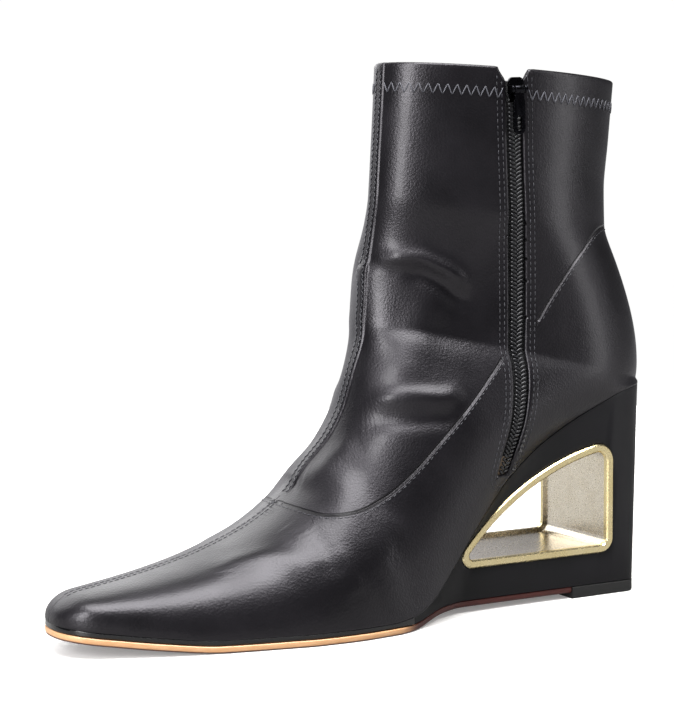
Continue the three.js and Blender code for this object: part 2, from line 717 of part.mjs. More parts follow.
// The frame's lining runs through the wedge, with a rim at each face
function windowFrame() {
  const face = wedgeWidth / 2 + rimProud;
  const behind = face - rimDepth;
  const profile = [
    [0, -face],
    [rimWidth, -face],
    [rimWidth, -behind],
    [liningWall, -behind],
    [liningWall, behind],
    [rimWidth, behind],
    [rimWidth, face],
    [0, face],
  ];
  const lines = profile.map(([inset, y]) => windowOutline(inset).map(({ x, y: z }) => new THREE.Vector3(x, y, z)));
  const rings = lines[0].map((_, i) => lines.map((line) => line[i]));
  return pieceOf('window_frame', loft(rings, false, true), 0xe8c56a, 0.12, 1);
}

// The zip

function zipTape() {
  const shares = evenShares(tapeBackStart / zipHeight, zipTop, 24);
  const outer = wall + tapeBackRoom;
  const strip = zipStrip(shares, tapeBackWidth / 2, outer, outer + tapeBackThickness);
  return pieceOf('zip_tape', strip, 0x111113, 0.9);
}

function zipCoil() {
  const shares = evenShares(gap / zipHeight, zipTop, 24);
  return pieceOf('zip_coil', zipStrip(shares, coilWidth / 2, coilSink, wall), 0x141417, 0.45);
}

const sliderShare = 1 - sliderBelowCollar / zipHeight;
const pinHeight = sliderThickness - 0.2 + gap + lugRadius + 0.2;

function box(width, height, depth, x, y, z) {
  return toManifold(new THREE.BoxGeometry(width, height, depth).translate(x, y, z));
}

function rod(radius, width) {
  const turned = new THREE.CylinderGeometry(radius, radius, width, 20).rotateZ(Math.PI / 2);
  return toManifold(turned.translate(0, 0, pinHeight));
}

// Across the zip, up along it and out of the leather are the slider's own X, Y and Z
function sliderBody() {
  const half = sliderWidth / 2;
  const end = sliderLength / 2;
  const outline = new THREE.Shape();
  outline.moveTo(-half * 0.72, -end);
  outline.lineTo(half * 0.72, -end);
  outline.lineTo(half, end * 0.2);
  outline.absarc(half * 0.4, end * 0.55, half * 0.6, 0, Math.PI / 2);
  outline.absarc(-half * 0.4, end * 0.55, half * 0.6, Math.PI / 2, Math.PI);
  outline.lineTo(-half, end * 0.2);
  outline.closePath();
  const flat = new THREE.ExtrudeGeometry(outline, { depth: sliderThickness, bevelEnabled: false, curveSegments: 6 });
  let body = toManifold(flat.translate(0, 0, -0.2));
  const inner = half - lugThickness;
  for (const side of [-1, 1]) {
    const middle = side * (inner + lugThickness / 2);
    const cheek = new THREE.CylinderGeometry(lugRadius, lugRadius, lugThickness, 20).rotateZ(Math.PI / 2);
    body = body.add(toManifold(cheek.translate(middle, 0, pinHeight)));
    body = body.add(box(lugThickness, lugRadius * 2, pinHeight, middle, 0, pinHeight / 2));
  }
  body = body.add(rod(pinRadius, (inner + lugThickness / 2) * 2));
  return fromManifold(body);
}

function pullTab() {
  const eyeWidth = (sliderWidth / 2 - lugThickness - gap) * 2;
  const eyeRadius = lugRadius;
  const half = pullWidth / 2;
  const neck = eyeWidth / 2;
  const outline = new THREE.Shape();
  outline.moveTo(-neck, 0);
  outline.lineTo(-neck, -pullNeck);
  outline.lineTo(-half, -pullNeck - 2);
  outline.lineTo(-half, -pullLength + half);
  outline.absarc(0, -pullLength + half, half, Math.PI, Math.PI * 2);
  outline.lineTo(half, -pullNeck - 2);
  outline.lineTo(neck, -pullNeck);
  outline.lineTo(neck, 0);
  outline.closePath();
  const hole = new THREE.Path();
  const slotHalf = half - 1.3;
  const slotTop = -pullLength + half + 3.5;
  hole.absarc(0, -pullLength + half, slotHalf, Math.PI, Math.PI * 2);
  hole.absarc(0, slotTop, slotHalf, 0, Math.PI);
  hole.closePath();
  outline.holes.push(hole);
  const flat = new THREE.ExtrudeGeometry(outline, { depth: pullThickness, bevelEnabled: false, curveSegments: 8 });
  const plate = toManifold(flat.translate(0, 0, pinHeight - pullThickness / 2));
  return fromManifold(plate.add(rod(eyeRadius, eyeWidth)).subtract(rod(pinRadius + gap, eyeWidth * 2)));
}

// The group that carries slider and pull, turned to stand on the leather at the top of the zip
function zipHead() {
  const { point, out, along } = besideZip(sliderShare, 0, 0);
  const up = along.clone().addScaledVector(out, -along.dot(out)).normalize();
  const head = new THREE.Group();
  head.setRotationFromMatrix(new THREE.Matrix4().makeBasis(up.clone().cross(out), up, out));
  head.position.copy(point);
  head.add(pieceOf('zip_slider', sliderBody(), 0x1a1a1d, 0.35, 0.6));
  head.add(pieceOf('zip_pull', pullTab(), 0x1a1a1d, 0.35, 0.6));
  return head;
}

const boot = new THREE.Group();
boot.add(upper(), insole(), wedge(), windowFrame(), rand(), outsole(), topPiece());
boot.add(zipTape(), zipCoil(), zipHead());

export default boot;
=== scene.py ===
# Looks of a wedge ankle boot for the right foot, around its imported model.
# Sizes are in millimetres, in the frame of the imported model: +X to the toe, +Y to the inner side
# of the foot, +Z up, with the floor at z = 0. They turn to metres where a mesh is made.
import math

import bmesh
import bpy
import numpy as np
from mathutils import Matrix, Vector, bvhtree


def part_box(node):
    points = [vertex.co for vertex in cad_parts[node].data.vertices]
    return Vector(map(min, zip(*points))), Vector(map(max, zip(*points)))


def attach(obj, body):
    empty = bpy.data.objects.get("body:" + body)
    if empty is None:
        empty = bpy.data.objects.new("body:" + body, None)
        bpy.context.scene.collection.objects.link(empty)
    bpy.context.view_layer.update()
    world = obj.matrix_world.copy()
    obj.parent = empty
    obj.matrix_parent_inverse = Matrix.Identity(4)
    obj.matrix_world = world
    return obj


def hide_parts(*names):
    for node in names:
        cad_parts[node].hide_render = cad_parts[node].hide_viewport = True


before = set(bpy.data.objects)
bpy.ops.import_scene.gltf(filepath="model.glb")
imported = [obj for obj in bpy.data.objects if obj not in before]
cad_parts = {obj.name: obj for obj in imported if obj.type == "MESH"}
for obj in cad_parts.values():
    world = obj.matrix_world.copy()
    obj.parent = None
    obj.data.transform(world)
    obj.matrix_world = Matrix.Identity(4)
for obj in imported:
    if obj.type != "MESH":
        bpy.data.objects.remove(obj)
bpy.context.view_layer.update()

MM = 0.001
MEDIAL, LATERAL = 1, -1
SIDES = ((MEDIAL, "medial"), (LATERAL, "lateral"))


def box_mm(node):
    """The two corners of the box round a node."""
    low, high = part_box(node)
    return np.array(low) / MM, np.array(high) / MM


# Sizes of the boot
SEAT_BACK = box_mm("wedge")[0][0]
TIP_X = box_mm("upper")[1][0]
LENGTH = TIP_X - SEAT_BACK
BALL_WIDTH = 77
SEAT_WIDTH = 44
SEAT_ROUNDING = 27
HEEL_HEIGHT = 80
INSTEP_HEIGHT = 88
COLLAR_HEIGHT = 198
COLLAR_DIP = 5.4
SHAFT_DEPTH = 101.5
SHAFT_WIDTH = 58
TOE_SPRING = 6
TOE_ROUNDING = 15
TOE_SQUARENESS = 2.7
TOE_DOME = 11
TOE_ROWS = 3
GAP = 0.3
WALL = 1.8
OUTSOLE = 2.4
RAND = 1.8
TOP_PIECE_LENGTH = 32.5
TOP_PIECE = 4.5
TOP_PIECE_CORNER = 8
WEDGE_WIDTH = 42
SOLE_STACK = OUTSOLE + GAP + RAND + GAP


# Curves and forms

def smooth(knots, values):
    """A smooth curve through the values at the knots, which never swings past them."""
    knots, values = np.array(knots, float), np.array(values, float)
    spans = np.diff(knots)
    slopes = np.diff(values) / spans
    before, after = np.r_[slopes[0], slopes], np.r_[slopes, slopes[-1]]
    same_way = before * after > 0
    total = np.where(same_way, before + after, 1)
    tangents = np.where(same_way, 2 * before * after / total, 0)

    def value_at(place):
        place = np.clip(place, knots[0], knots[-1])
        i = np.clip(np.searchsorted(knots, place, side="right") - 1, 0, len(spans) - 1)
        f = (place - knots[i]) / spans[i]
        rise = f * f * (3 - 2 * f)
        bend = spans[i] * f * (1 - f)
        return (values[i] * (1 - rise) + values[i + 1] * rise
                + bend * (tangents[i] * (1 - f) - tangents[i + 1] * f))

    return value_at


def curves(names, rows):
    """One smooth curve for each named column, over the column named at."""
    columns = dict(zip(names.split(), np.array(rows, float).T))
    places = columns.pop("at")
    return {name: smooth(places, values) for name, values in columns.items()}


def rounded(share, power):
    """0 at the end of a form, and 1 once the place is past its rounding."""
    share = np.clip(share, 0, 1)
    return (1 - (1 - share) ** power) ** (1 / power)


def ease(share):
    """From 0 to 1 over a share, with a soft start and a soft end."""
    share = np.clip(share, 0, 1)
    return share * share * (3 - 2 * share)


def mix(a, b, share):
    """The value a share of the way from a to b."""
    return a + (b - a) * share


# The feather line, where upper and sole meet: at is the share of the length from the seat's back,
# heel the share of the heel's height, spring that of the toe's spring, seat and the two sides the
# shares of the half widths of seat and ball
FEATHER = curves("at heel spring seat medial lateral", [
    [0.00, 1.000, 0.00, 1.00, 0.000, 0.000],
    [0.07, 0.970, 0.00, 1.00, 0.000, 0.000],
    [0.14, 0.888, 0.00, 1.00, 0.000, 0.000],
    [0.22, 0.760, 0.00, 0.82, 0.100, 0.120],
    [0.30, 0.585, 0.00, 0.50, 0.350, 0.400],
    [0.37, 0.368, 0.00, 0.24, 0.605, 0.690],
    [0.42, 0.196, 0.00, 0.09, 0.775, 0.860],
    [0.46, 0.076, 0.00, 0.02, 0.890, 0.940],
    [0.50, 0.014, 0.00, 0.00, 0.955, 0.985],
    [0.54, 0.000, 0.00, 0.00, 0.990, 1.005],
    [0.59, 0.000, 0.00, 0.00, 1.012, 0.995],
    [0.65, 0.000, 0.00, 0.00, 0.990, 0.930],
    [0.71, 0.000, 0.00, 0.00, 0.915, 0.835],
    [0.79, 0.000, 0.02, 0.00, 0.800, 0.690],
    [0.87, 0.000, 0.32, 0.00, 0.650, 0.540],
    [0.94, 0.000, 0.68, 0.00, 0.485, 0.425],
    [1.00, 0.000, 1.00, 0.00, 0.350, 0.335],
])


def feather_z(x):
    """Height of the feather line."""
    at = (x - SEAT_BACK) / LENGTH
    return SOLE_STACK + FEATHER["heel"](at) * (HEEL_HEIGHT - SOLE_STACK) + FEATHER["spring"](at) * TOE_SPRING


def feather_edge(x, side, inset=0.0):
    """Half width of the feather line, drawn in by inset."""
    at = (x - SEAT_BACK) / LENGTH
    ball = FEATHER["medial" if side == MEDIAL else "lateral"](at)
    half = (FEATHER["seat"](at) * SEAT_WIDTH + ball * BALL_WIDTH) / 2 - inset
    to_toe = (TIP_X - inset - x) / TOE_ROUNDING
    to_back = (x - SEAT_BACK - inset) / (SEAT_ROUNDING - inset)
    return half * rounded(to_toe, TOE_SQUARENESS) * rounded(to_back, 2)


# Sections of the upper, from the toe to the collar. Each lies in a plane across the boot, from a
# point at its bottom or back to a point at its top or front. Columns ending in Length and Depth
# are shares of the length and the shaft's depth, Instep and Shaft those of the instep's height and
# of the shaft above it, backUp that of the height of the boot's back, and the half widths are
# shares of those of ball and shaft. widest is the place of the full width, crest the sideways lean
# of the top as a share of the ball's width, and the columns ending in Full give the section's form
# on each side and at its back: 2 is an ellipse, more is squarer
SECTION_ROWS = [
    [1.000, 0.000, 0.215, 0.000, 1.000, 0.000, 0.354, 0.340, 0.000, 0.000, 0.20, 0.00, 2.8, 2.2, 2.0],
    [0.931, 0.000, 0.238, 0.000, 0.931, 0.000, 0.515, 0.450, 0.000, 0.000, 0.20, -0.02, 2.8, 2.1, 2.0],
    [0.868, 0.000, 0.262, 0.000, 0.868, 0.000, 0.663, 0.551, 0.000, 0.000, 0.18, -0.04, 2.8, 2.0, 2.0],
    [0.785, 0.000, 0.308, 0.000, 0.785, 0.000, 0.816, 0.706, 0.000, 0.000, 0.17, -0.06, 2.8, 1.9, 2.0],
    [0.704, 0.000, 0.383, 0.000, 0.711, 0.000, 0.925, 0.845, 0.000, 0.000, 0.16, -0.07, 2.6, 1.85, 2.0],
    [0.650, 0.000, 0.462, 0.000, 0.657, 0.000, 0.994, 0.930, 0.000, 0.000, 0.16, -0.07, 2.4, 1.85, 2.0],
    [0.611, 0.000, 0.548, 0.000, 0.607, 0.000, 1.020, 0.997, 0.000, 0.000, 0.17, -0.06, 2.25, 1.85, 2.0],
    [0.555, 0.070, 0.646, 0.000, 0.545, 0.000, 0.955, 0.970, 0.067, 0.068, 0.20, -0.05, 2.15, 1.85, 2.0],
    [0.470, 0.200, 0.748, 0.000, 0.470, 0.000, 0.800, 0.825, 0.180, 0.190, 0.26, -0.03, 2.0, 1.85, 2.0],
    [0.370, 0.382, 0.866, 0.000, 0.371, 0.000, 0.610, 0.640, 0.335, 0.360, 0.33, -0.02, 2.0, 1.85, 2.0],
    [0.261, 0.611, 1.000, 0.000, 0.250, 0.000, 0.403, 0.422, 0.534, 0.560, 0.38, 0.00, 2.0, 1.90, 1.95],
    [0.152, 0.830, 1.000, 0.100, 0.117, 0.000, 0.218, 0.241, 0.676, 0.765, 0.37, 0.00, 2.0, 2.40, 1.9],
    [0.075, 0.993, 1.000, 0.182, 0.000, 0.000, 0.101, 0.123, 0.762, 0.955, 0.35, -0.02, 2.0, 2.75, 1.9],
    [0.035, 1.077, 1.000, 0.250, -0.007, 0.089, 0.047, 0.059, 0.821, 1.100, 0.36, -0.02, 2.0, 2.75, 1.85],
    [0.000, 1.148, 1.000, 0.345, 0.003, 0.213, 0.000, 0.000, 0.876, 1.190, 0.38, -0.03, 2.0, 2.7, 1.8],
    [0.000, 1.133, 1.000, 0.464, 0.029, 0.373, 0.000, 0.000, 0.869, 1.030, 0.42, -0.02, 2.0, 2.15, 1.75],
    [0.000, 1.125, 1.000, 0.582, 0.058, 0.524, 0.000, 0.000, 0.862, 0.950, 0.46, 0.00, 2.0, 2.0, 1.75],
    [0.000, 1.117, 1.000, 0.691, 0.059, 0.648, 0.000, 0.000, 0.862, 0.930, 0.48, 0.00, 2.0, 2.0, 1.75],
    [0.000, 1.106, 1.000, 0.836, 0.051, 0.817, 0.000, 0.000, 0.876, 0.950, 0.49, 0.00, 2.0, 2.0, 1.75],
    [0.000, 1.095, 1.000, 1.000, 0.044, 1.000, 0.000, 0.000, 0.897, 0.972, 0.50, 0.00, 2.0, 2.0, 1.8],
]
SECTION_COLUMNS = (
    "frontLength frontDepth frontInstep frontShaft backLength backUp medialBall lateralBall medialShaft "
    "lateralShaft widest crest medialFull lateralFull backFull").split()
COLUMN = dict(zip(SECTION_COLUMNS, np.array(SECTION_ROWS).T))
ROWS = range(len(SECTION_ROWS))
SEAT_ROW = 12
LAST_ROW = len(SECTION_ROWS) - 1

# The columns as smooth curves over the rows. Those that add up to one size are added first, so that
# the sum runs smoothly too
SHAPE = {name: smooth(ROWS, COLUMN[name])
         for name in ("backLength", "backUp", "widest", "crest", "medialFull", "lateralFull", "backFull")}
FRONT_X = smooth(ROWS, SEAT_BACK + COLUMN["frontLength"] * LENGTH + COLUMN["frontDepth"] * SHAFT_DEPTH)
FRONT_Z = smooth(ROWS, COLUMN["frontInstep"] * INSTEP_HEIGHT
                 + COLUMN["frontShaft"] * (COLLAR_HEIGHT - INSTEP_HEIGHT))
FULL_WIDTH = {side: smooth(ROWS, COLUMN[name + "Ball"] * BALL_WIDTH + COLUMN[name + "Shaft"] * SHAFT_WIDTH)
              for side, name in SIDES}


def front_point(u):
    """The top or front end of each section, seen from the side."""
    return np.stack([FRONT_X(u), FRONT_Z(u)], -1)


def back_point(u):
    """The bottom or back end of each section, seen from the side."""
    x = SEAT_BACK + SHAPE["backLength"](u) * LENGTH
    up = HEEL_HEIGHT + SHAPE["backUp"](u) * (COLLAR_HEIGHT - COLLAR_DIP - HEEL_HEIGHT)
    return np.stack([x, np.where(u <= SEAT_ROW, feather_z(x), up)], -1)


def left_of(profile, u):
    """The direction along a profile from the toe to the collar, turned a quarter turn to the left."""
    reach = 0.05
    along = profile(np.minimum(u + reach, LAST_ROW)) - profile(np.maximum(u - reach, 0))
    along /= np.linalg.norm(along, axis=-1, keepdims=True)
    return np.stack([-along[..., 1], along[..., 0]], -1)


def section(u, inset=0.0):
    """The sections at the places u, drawn in by inset to give the inner side of the wall."""
    u = np.asarray(u, float)
    past_toe = np.clip(u / TOE_ROWS, 0, 1)
    drawn_in = inset * (1 - past_toe)
    inward = left_of(front_point, u) * inset
    front = front_point(u) + inward * np.stack([past_toe, np.ones_like(u)], -1)
    front[..., 0] -= drawn_in
    back = back_point(u)
    lower_x = back[..., 0] + inset * np.clip(u - SEAT_ROW + 1, 0, 1) - drawn_in
    lower = np.stack([lower_x, feather_z(lower_x)], -1)
    upper = back - left_of(back_point, u) * inset
    back = np.where((u > SEAT_ROW)[..., None], upper, lower)
    dome = rounded((TIP_X - inset - front[..., 0]) / TOE_DOME, 2.2)
    front[..., 1] = back[..., 1] + (front[..., 1] - back[..., 1]) * dome
    tip = rounded((TIP_X - inset - front[..., 0]) / TOE_ROUNDING, TOE_SQUARENESS)
    cut = {"front": front, "back": back, "widest": SHAPE["widest"](u),
           "crest": SHAPE["crest"](u) * BALL_WIDTH,
           "back_power": 2 / SHAPE["backFull"](u)}
    for side, name in SIDES:
        full = FULL_WIDTH[side](u) / 2 - inset
        edge = np.where(u >= SEAT_ROW, 0, feather_edge(back[..., 0], side, inset))
        half = np.maximum(full * tip, edge * 1.01)
        share = np.minimum(edge / np.maximum(half, 1e-9), 0.99)
        cut[side] = {"edge": edge, "half": half, "front_power": 2 / SHAPE[name + "Full"](u),
                     "start": np.arcsin(share ** (1 / cut["back_power"]))}
    return cut


def half_sections(u, side, inset=0.0, steps=96):
    """Points of each half section, from its crest to the feather line or the back."""
    cut = section(u, inset)
    own = cut[side]
    column = {name: value[:, None] for name, value in (*own.items(), ("widest", cut["widest"]))}
    back_power = cut["back_power"][:, None]
    angle = math.pi - (math.pi - column["start"]) * np.linspace(0, 1, steps + 1)
    in_front = angle > math.pi / 2
    power = np.where(in_front, column["front_power"], back_power)
    across = column["half"] * np.maximum(np.sin(angle), 0) ** power
    reach = np.abs(np.cos(angle))
    widest = column["widest"]
    along = np.where(in_front, widest + (1 - widest) * reach ** power,
                     widest * (1 - np.minimum(reach / np.cos(column["start"]), 1) ** power))
    side_view = cut["back"][:, None] + (cut["front"] - cut["back"])[:, None] * along[..., None]
    y = side * across + cut["crest"][:, None] * along
    return np.stack([side_view[..., 0], y, side_view[..., 1]], -1)


def row_at(x, z, inset=0.0):
    """The place u of the section that holds a point seen from the side."""
    place = np.stack(np.broadcast_arrays(np.asarray(x, float), np.asarray(z, float)), -1)
    low, high = np.zeros(place.shape[:-1]), np.full(place.shape[:-1], float(LAST_ROW))
    for _ in range(40):
        middle = (low + high) / 2
        cut = section(middle, inset)
        span, to_place = cut["front"] - cut["back"], place - cut["back"]
        ahead = span[..., 0] * to_place[..., 1] - span[..., 1] * to_place[..., 0] > 0
        low, high = np.where(ahead, middle, low), np.where(ahead, high, middle)
    return low


def side_y(x, z, side=MEDIAL, inset=0.0):
    """Half width of the upper at a place seen from the side."""
    cut = section(row_at(x, z, inset), inset)
    own = cut[side]
    span = cut["front"] - cut["back"]
    to_place = np.stack(np.broadcast_arrays(x, z), -1) - cut["back"]
    along = np.clip((to_place * span).sum(-1) / (span ** 2).sum(-1), 0, 1)
    widest = cut["widest"]
    in_front = along >= widest
    power = np.where(in_front, own["front_power"], cut["back_power"])
    forward = np.clip((along - widest) / (1 - widest), 0, 1) ** (1 / power)
    backward = np.clip(1 - along / widest, 0, 1) ** (1 / power) * np.cos(own["start"])
    reach = np.where(in_front, forward, backward)
    return side * own["half"] * np.sqrt(np.maximum(0, 1 - reach ** 2)) ** power + cut["crest"] * along


# Meshes

# Points of closed pieces and of sheets closer than this are merged, and faces thinner than a sliver go
CLOSED_MERGE = 0.004
SHEET_MERGE = 0.01
SLIVER = 0.002


def unit(vectors):
    """The vectors at a length of 1."""
    return vectors / np.maximum(np.linalg.norm(vectors, axis=-1, keepdims=True), 1e-9)


def lengths_along(points):
    """The distance reached at each point of a line, or of each row of points."""
    steps = np.linalg.norm(np.diff(points, axis=-2), axis=-1)
    return np.concatenate([np.zeros(steps.shape[:-1] + (1,)), np.cumsum(steps, -1)], -1)


def resample(points, wanted):
    """Points at the wanted distances along each row of points."""
    reached = lengths_along(points)
    return np.stack([
        np.stack([np.interp(want, have, row[:, k]) for k in range(3)], -1)
        for row, have, want in zip(points, reached, wanted)])


def grid_quads(index):
    """The four-sided faces between neighbours of a two-way array of vertex numbers."""
    quads = np.stack([index[:-1, :-1], index[1:, :-1], index[1:, 1:], index[:-1, 1:]], -1)
    return quads.reshape(-1, 4)


def shell_of(points, faces, attributes, merge):
    """A shell of faces over points in millimetres, with its doubles merged."""
    mesh = bpy.data.meshes.new("shell")
    mesh.from_pydata((points.reshape(-1, 3) * MM).tolist(), [], faces)
    for label, values in attributes.items():
        layer = mesh.attributes.new(label, "FLOAT", "POINT")
        layer.data.foreach_set("value", values.ravel().astype(np.float32))
    shell = bmesh.new()
    shell.from_mesh(mesh)
    bpy.data.meshes.remove(mesh)
    bmesh.ops.remove_doubles(shell, verts=shell.verts, dist=merge * MM)
    bmesh.ops.dissolve_degenerate(shell, edges=shell.edges, dist=SLIVER * MM)
    return shell


def piece_from(name, shell, material):
    """A shell made a piece of the scene, smoothly shaded."""
    mesh = bpy.data.meshes.new(name)
    shell.to_mesh(mesh)
    shell.free()
    mesh.shade_smooth()
    mesh.materials.append(material)
    piece = bpy.data.objects.new(name, mesh)
    bpy.context.scene.collection.objects.link(piece)
    return piece


def closed_piece(name, points, faces, material, attributes=None):
    """A closed piece, with no loose points and with its faces turned out."""
    shell = shell_of(points, faces, attributes or {}, CLOSED_MERGE)
    loose = [vertex for vertex in shell.verts if not vertex.link_faces]
    bmesh.ops.delete(shell, geom=loose, context="VERTS")
    bmesh.ops.recalc_face_normals(shell, faces=shell.faces)
    return piece_from(name, shell, material)


def sheet_of(grid, faces_out, attributes):
    """An open shell of four-sided faces over a grid of points."""
    index = np.arange(grid.shape[0] * grid.shape[1]).reshape(grid.shape[:2])
    quads = grid_quads(index)
    if not faces_out:
        quads = quads[:, ::-1]
    return shell_of(grid, quads.tolist(), attributes, SHEET_MERGE)


def finish_piece(piece, body, slot, *nodes):
    """Gives a piece its body, and hides the nodes that it stands in for; slot is not used."""
    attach(piece, body)
    if nodes:
        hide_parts(*nodes)


def plain_mesh(piece):
    """Applies the modifiers of a piece, which leaves it a plain mesh."""
    graph = bpy.context.evaluated_depsgraph_get()
    mesh = bpy.data.meshes.new_from_object(piece.evaluated_get(graph))
    piece.modifiers.clear()
    piece.data = mesh


def soften(piece, radius, segments, angle):
    """Rounds the edges that turn by more than an angle, and applies all modifiers of the piece."""
    soft = piece.modifiers.new("edges", "BEVEL")
    soft.width = radius * MM
    soft.segments = segments
    soft.limit_method = "ANGLE"
    soft.angle_limit = math.radians(angle)
    plain_mesh(piece)
    piece.data.shade_smooth()
    piece.data.set_sharp_from_angle(angle=math.radians(50))


# Materials

def linear(text):
    """A colour in sRGB hex, turned to the linear values that the shaders take."""
    shares = [int(text[i:i + 2], 16) / 255 for i in (1, 3, 5)]
    return (*[c / 12.92 if c <= 0.04045 else ((c + 0.055) / 1.055) ** 2.4 for c in shares], 1.0)


def add(tree, kind, values=None, links=None, **settings):
    """A node with its settings, the values of its inputs and the outputs that feed them."""
    made = tree.nodes.new(kind)
    for name, value in settings.items():
        setattr(made, name, value)
    for socket, value in (values or {}).items():
        made.inputs[socket].default_value = value
    for socket, source in (links or {}).items():
        tree.links.new(source, made.inputs[socket])
    return made


def new_material(name):
    """A new material with its empty tree, and places in metres on the piece that it covers."""
    made = bpy.data.materials.new(name)
    made.use_nodes = True
    tree = made.node_tree
    tree.nodes.clear()
    return made, tree, add(tree, "ShaderNodeTexCoord").outputs["Object"]


def per_mm(size):
    """The scale that gives a pattern the size in millimetres, on coordinates in metres."""
    return 1 / (size * MM)


def faux_leather():
    """Polyurethane film on a stretch knit, embossed with a fine grain: black with a satin gloss
    that breaks up into small glints, and broad soft highlights on its folds."""
    made, tree, place = new_material("embossed stretch faux leather")
    # The embossed pebbles of 0.4 mm are drawn at 0.8 mm, so that they show from a step away
    pebbles = add(tree, "ShaderNodeTexVoronoi", {"Scale": per_mm(0.8)}, {"Vector": place})
    fine = add(tree, "ShaderNodeTexNoise", {"Scale": per_mm(0.5), "Detail": 2.0}, {"Vector": place})
    grain = add(tree, "ShaderNodeMath", {1: 0.8}, {0: fine.outputs["Fac"], 2: pebbles.outputs["Distance"]},
                operation="MULTIPLY_ADD")
    embossed = add(tree, "ShaderNodeBump", {"Strength": 0.5, "Distance": 0.11 * MM},
                   {"Height": grain.outputs[0]})
    # The film lies in slack waves of some 9 mm over its knit
    slack = add(tree, "ShaderNodeTexNoise", {"Scale": per_mm(9), "Detail": 2.0, "Roughness": 0.4},
                {"Vector": place})
    waved = add(tree, "ShaderNodeBump", {"Strength": 0.3, "Distance": 0.4 * MM},
                {"Height": slack.outputs["Fac"], "Normal": embossed.outputs["Normal"]})
    # A turned seam: the upper panel's folded edge stands over the lower one, with a sunk line between
    across = add(tree, "ShaderNodeAttribute", attribute_name="seam").outputs["Fac"]
    beside = add(tree, "ShaderNodeMath", {}, {0: across}, operation="ABSOLUTE")
    step = add(tree, "ShaderNodeMapRange", {"From Min": -0.3, "From Max": 0.3, "To Max": 0.6},
               {"Value": across},
               interpolation_type="SMOOTHSTEP")
    middle = add(tree, "ShaderNodeAttribute", attribute_name="front_seam").outputs["Fac"]
    nearest = add(tree, "ShaderNodeMath", {}, {0: beside.outputs[0], 1: middle}, operation="MINIMUM")
    sunk = add(tree, "ShaderNodeMapRange", {"From Min": 0.1, "From Max": 0.9}, {"Value": nearest.outputs[0]},
               interpolation_type="SMOOTHSTEP")
    relief = add(tree, "ShaderNodeMath", {}, {0: step.outputs["Result"], 1: sunk.outputs["Result"]},
                 operation="ADD")
    sewn = add(tree, "ShaderNodeBump", {"Strength": 1.0, "Distance": 0.6 * MM},
               {"Height": relief.outputs[0], "Normal": waved.outputs["Normal"]})
    # Handling leaves the film a little duller in patches of some 25 mm
    patches = add(tree, "ShaderNodeTexNoise", {"Scale": per_mm(25), "Detail": 3.0}, {"Vector": place})
    gloss = add(tree, "ShaderNodeMapRange",
                {"From Min": 0.35, "From Max": 0.65, "To Min": 0.33, "To Max": 0.43},
                {"Value": patches.outputs["Fac"]})
    tone = add(tree, "ShaderNodeMix", {6: linear("#070708"), 7: linear("#100E12")},
               {0: patches.outputs["Fac"]},
               data_type="RGBA")
    # Within a millimetre of the seams the colour is drawn to near black: painted shade in the sunk line.
    shade = add(tree, "ShaderNodeMix", {6: linear("#030303")},
                {0: sunk.outputs["Result"], 7: tone.outputs[2]},
                data_type="RGBA")
    shader = add(tree, "ShaderNodeBsdfPrincipled",
                 {"IOR": 1.5, "Specular IOR Level": 0.4, "Coat Weight": 0.14, "Coat Roughness": 0.2,
                  "Specular Tint": linear("#F3EEF7")},
                 {"Base Color": shade.outputs[2], "Roughness": gloss.outputs["Result"],
                  "Normal": sewn.outputs["Normal"]})
    add(tree, "ShaderNodeOutputMaterial", {}, {"Surface": shader.outputs["BSDF"]})
    return made


def wrapped_cover():
    """Smooth polyurethane wrap drawn tight over the moulded wedge: matt black with a faint pore and
    a soft broad sheen."""
    made, tree, place = new_material("smooth matt wedge wrap")
    pores = add(tree, "ShaderNodeTexNoise", {"Scale": per_mm(0.5), "Detail": 3.0}, {"Vector": place})
    drawn = add(tree, "ShaderNodeTexNoise", {"Scale": per_mm(14), "Detail": 1.0}, {"Vector": place})
    skin = add(tree, "ShaderNodeBump", {"Strength": 0.25, "Distance": 0.06 * MM},
               {"Height": pores.outputs["Fac"]})
    pulled = add(tree, "ShaderNodeBump", {"Strength": 0.3, "Distance": 0.35 * MM},
                 {"Height": drawn.outputs["Fac"], "Normal": skin.outputs["Normal"]})
    gloss = add(tree, "ShaderNodeMapRange",
                {"From Min": 0.3, "From Max": 0.7, "To Min": 0.42, "To Max": 0.52},
                {"Value": drawn.outputs["Fac"]})
    tone = add(tree, "ShaderNodeMix", {6: linear("#0B0B0D"), 7: linear("#121115")}, {0: drawn.outputs["Fac"]},
               data_type="RGBA")
    shader = add(tree, "ShaderNodeBsdfPrincipled", {"IOR": 1.46, "Specular IOR Level": 0.27},
                 {"Base Color": tone.outputs[2], "Roughness": gloss.outputs["Result"],
                  "Normal": pulled.outputs["Normal"]})
    add(tree, "ShaderNodeOutputMaterial", {}, {"Surface": shader.outputs["BSDF"]})
    return made


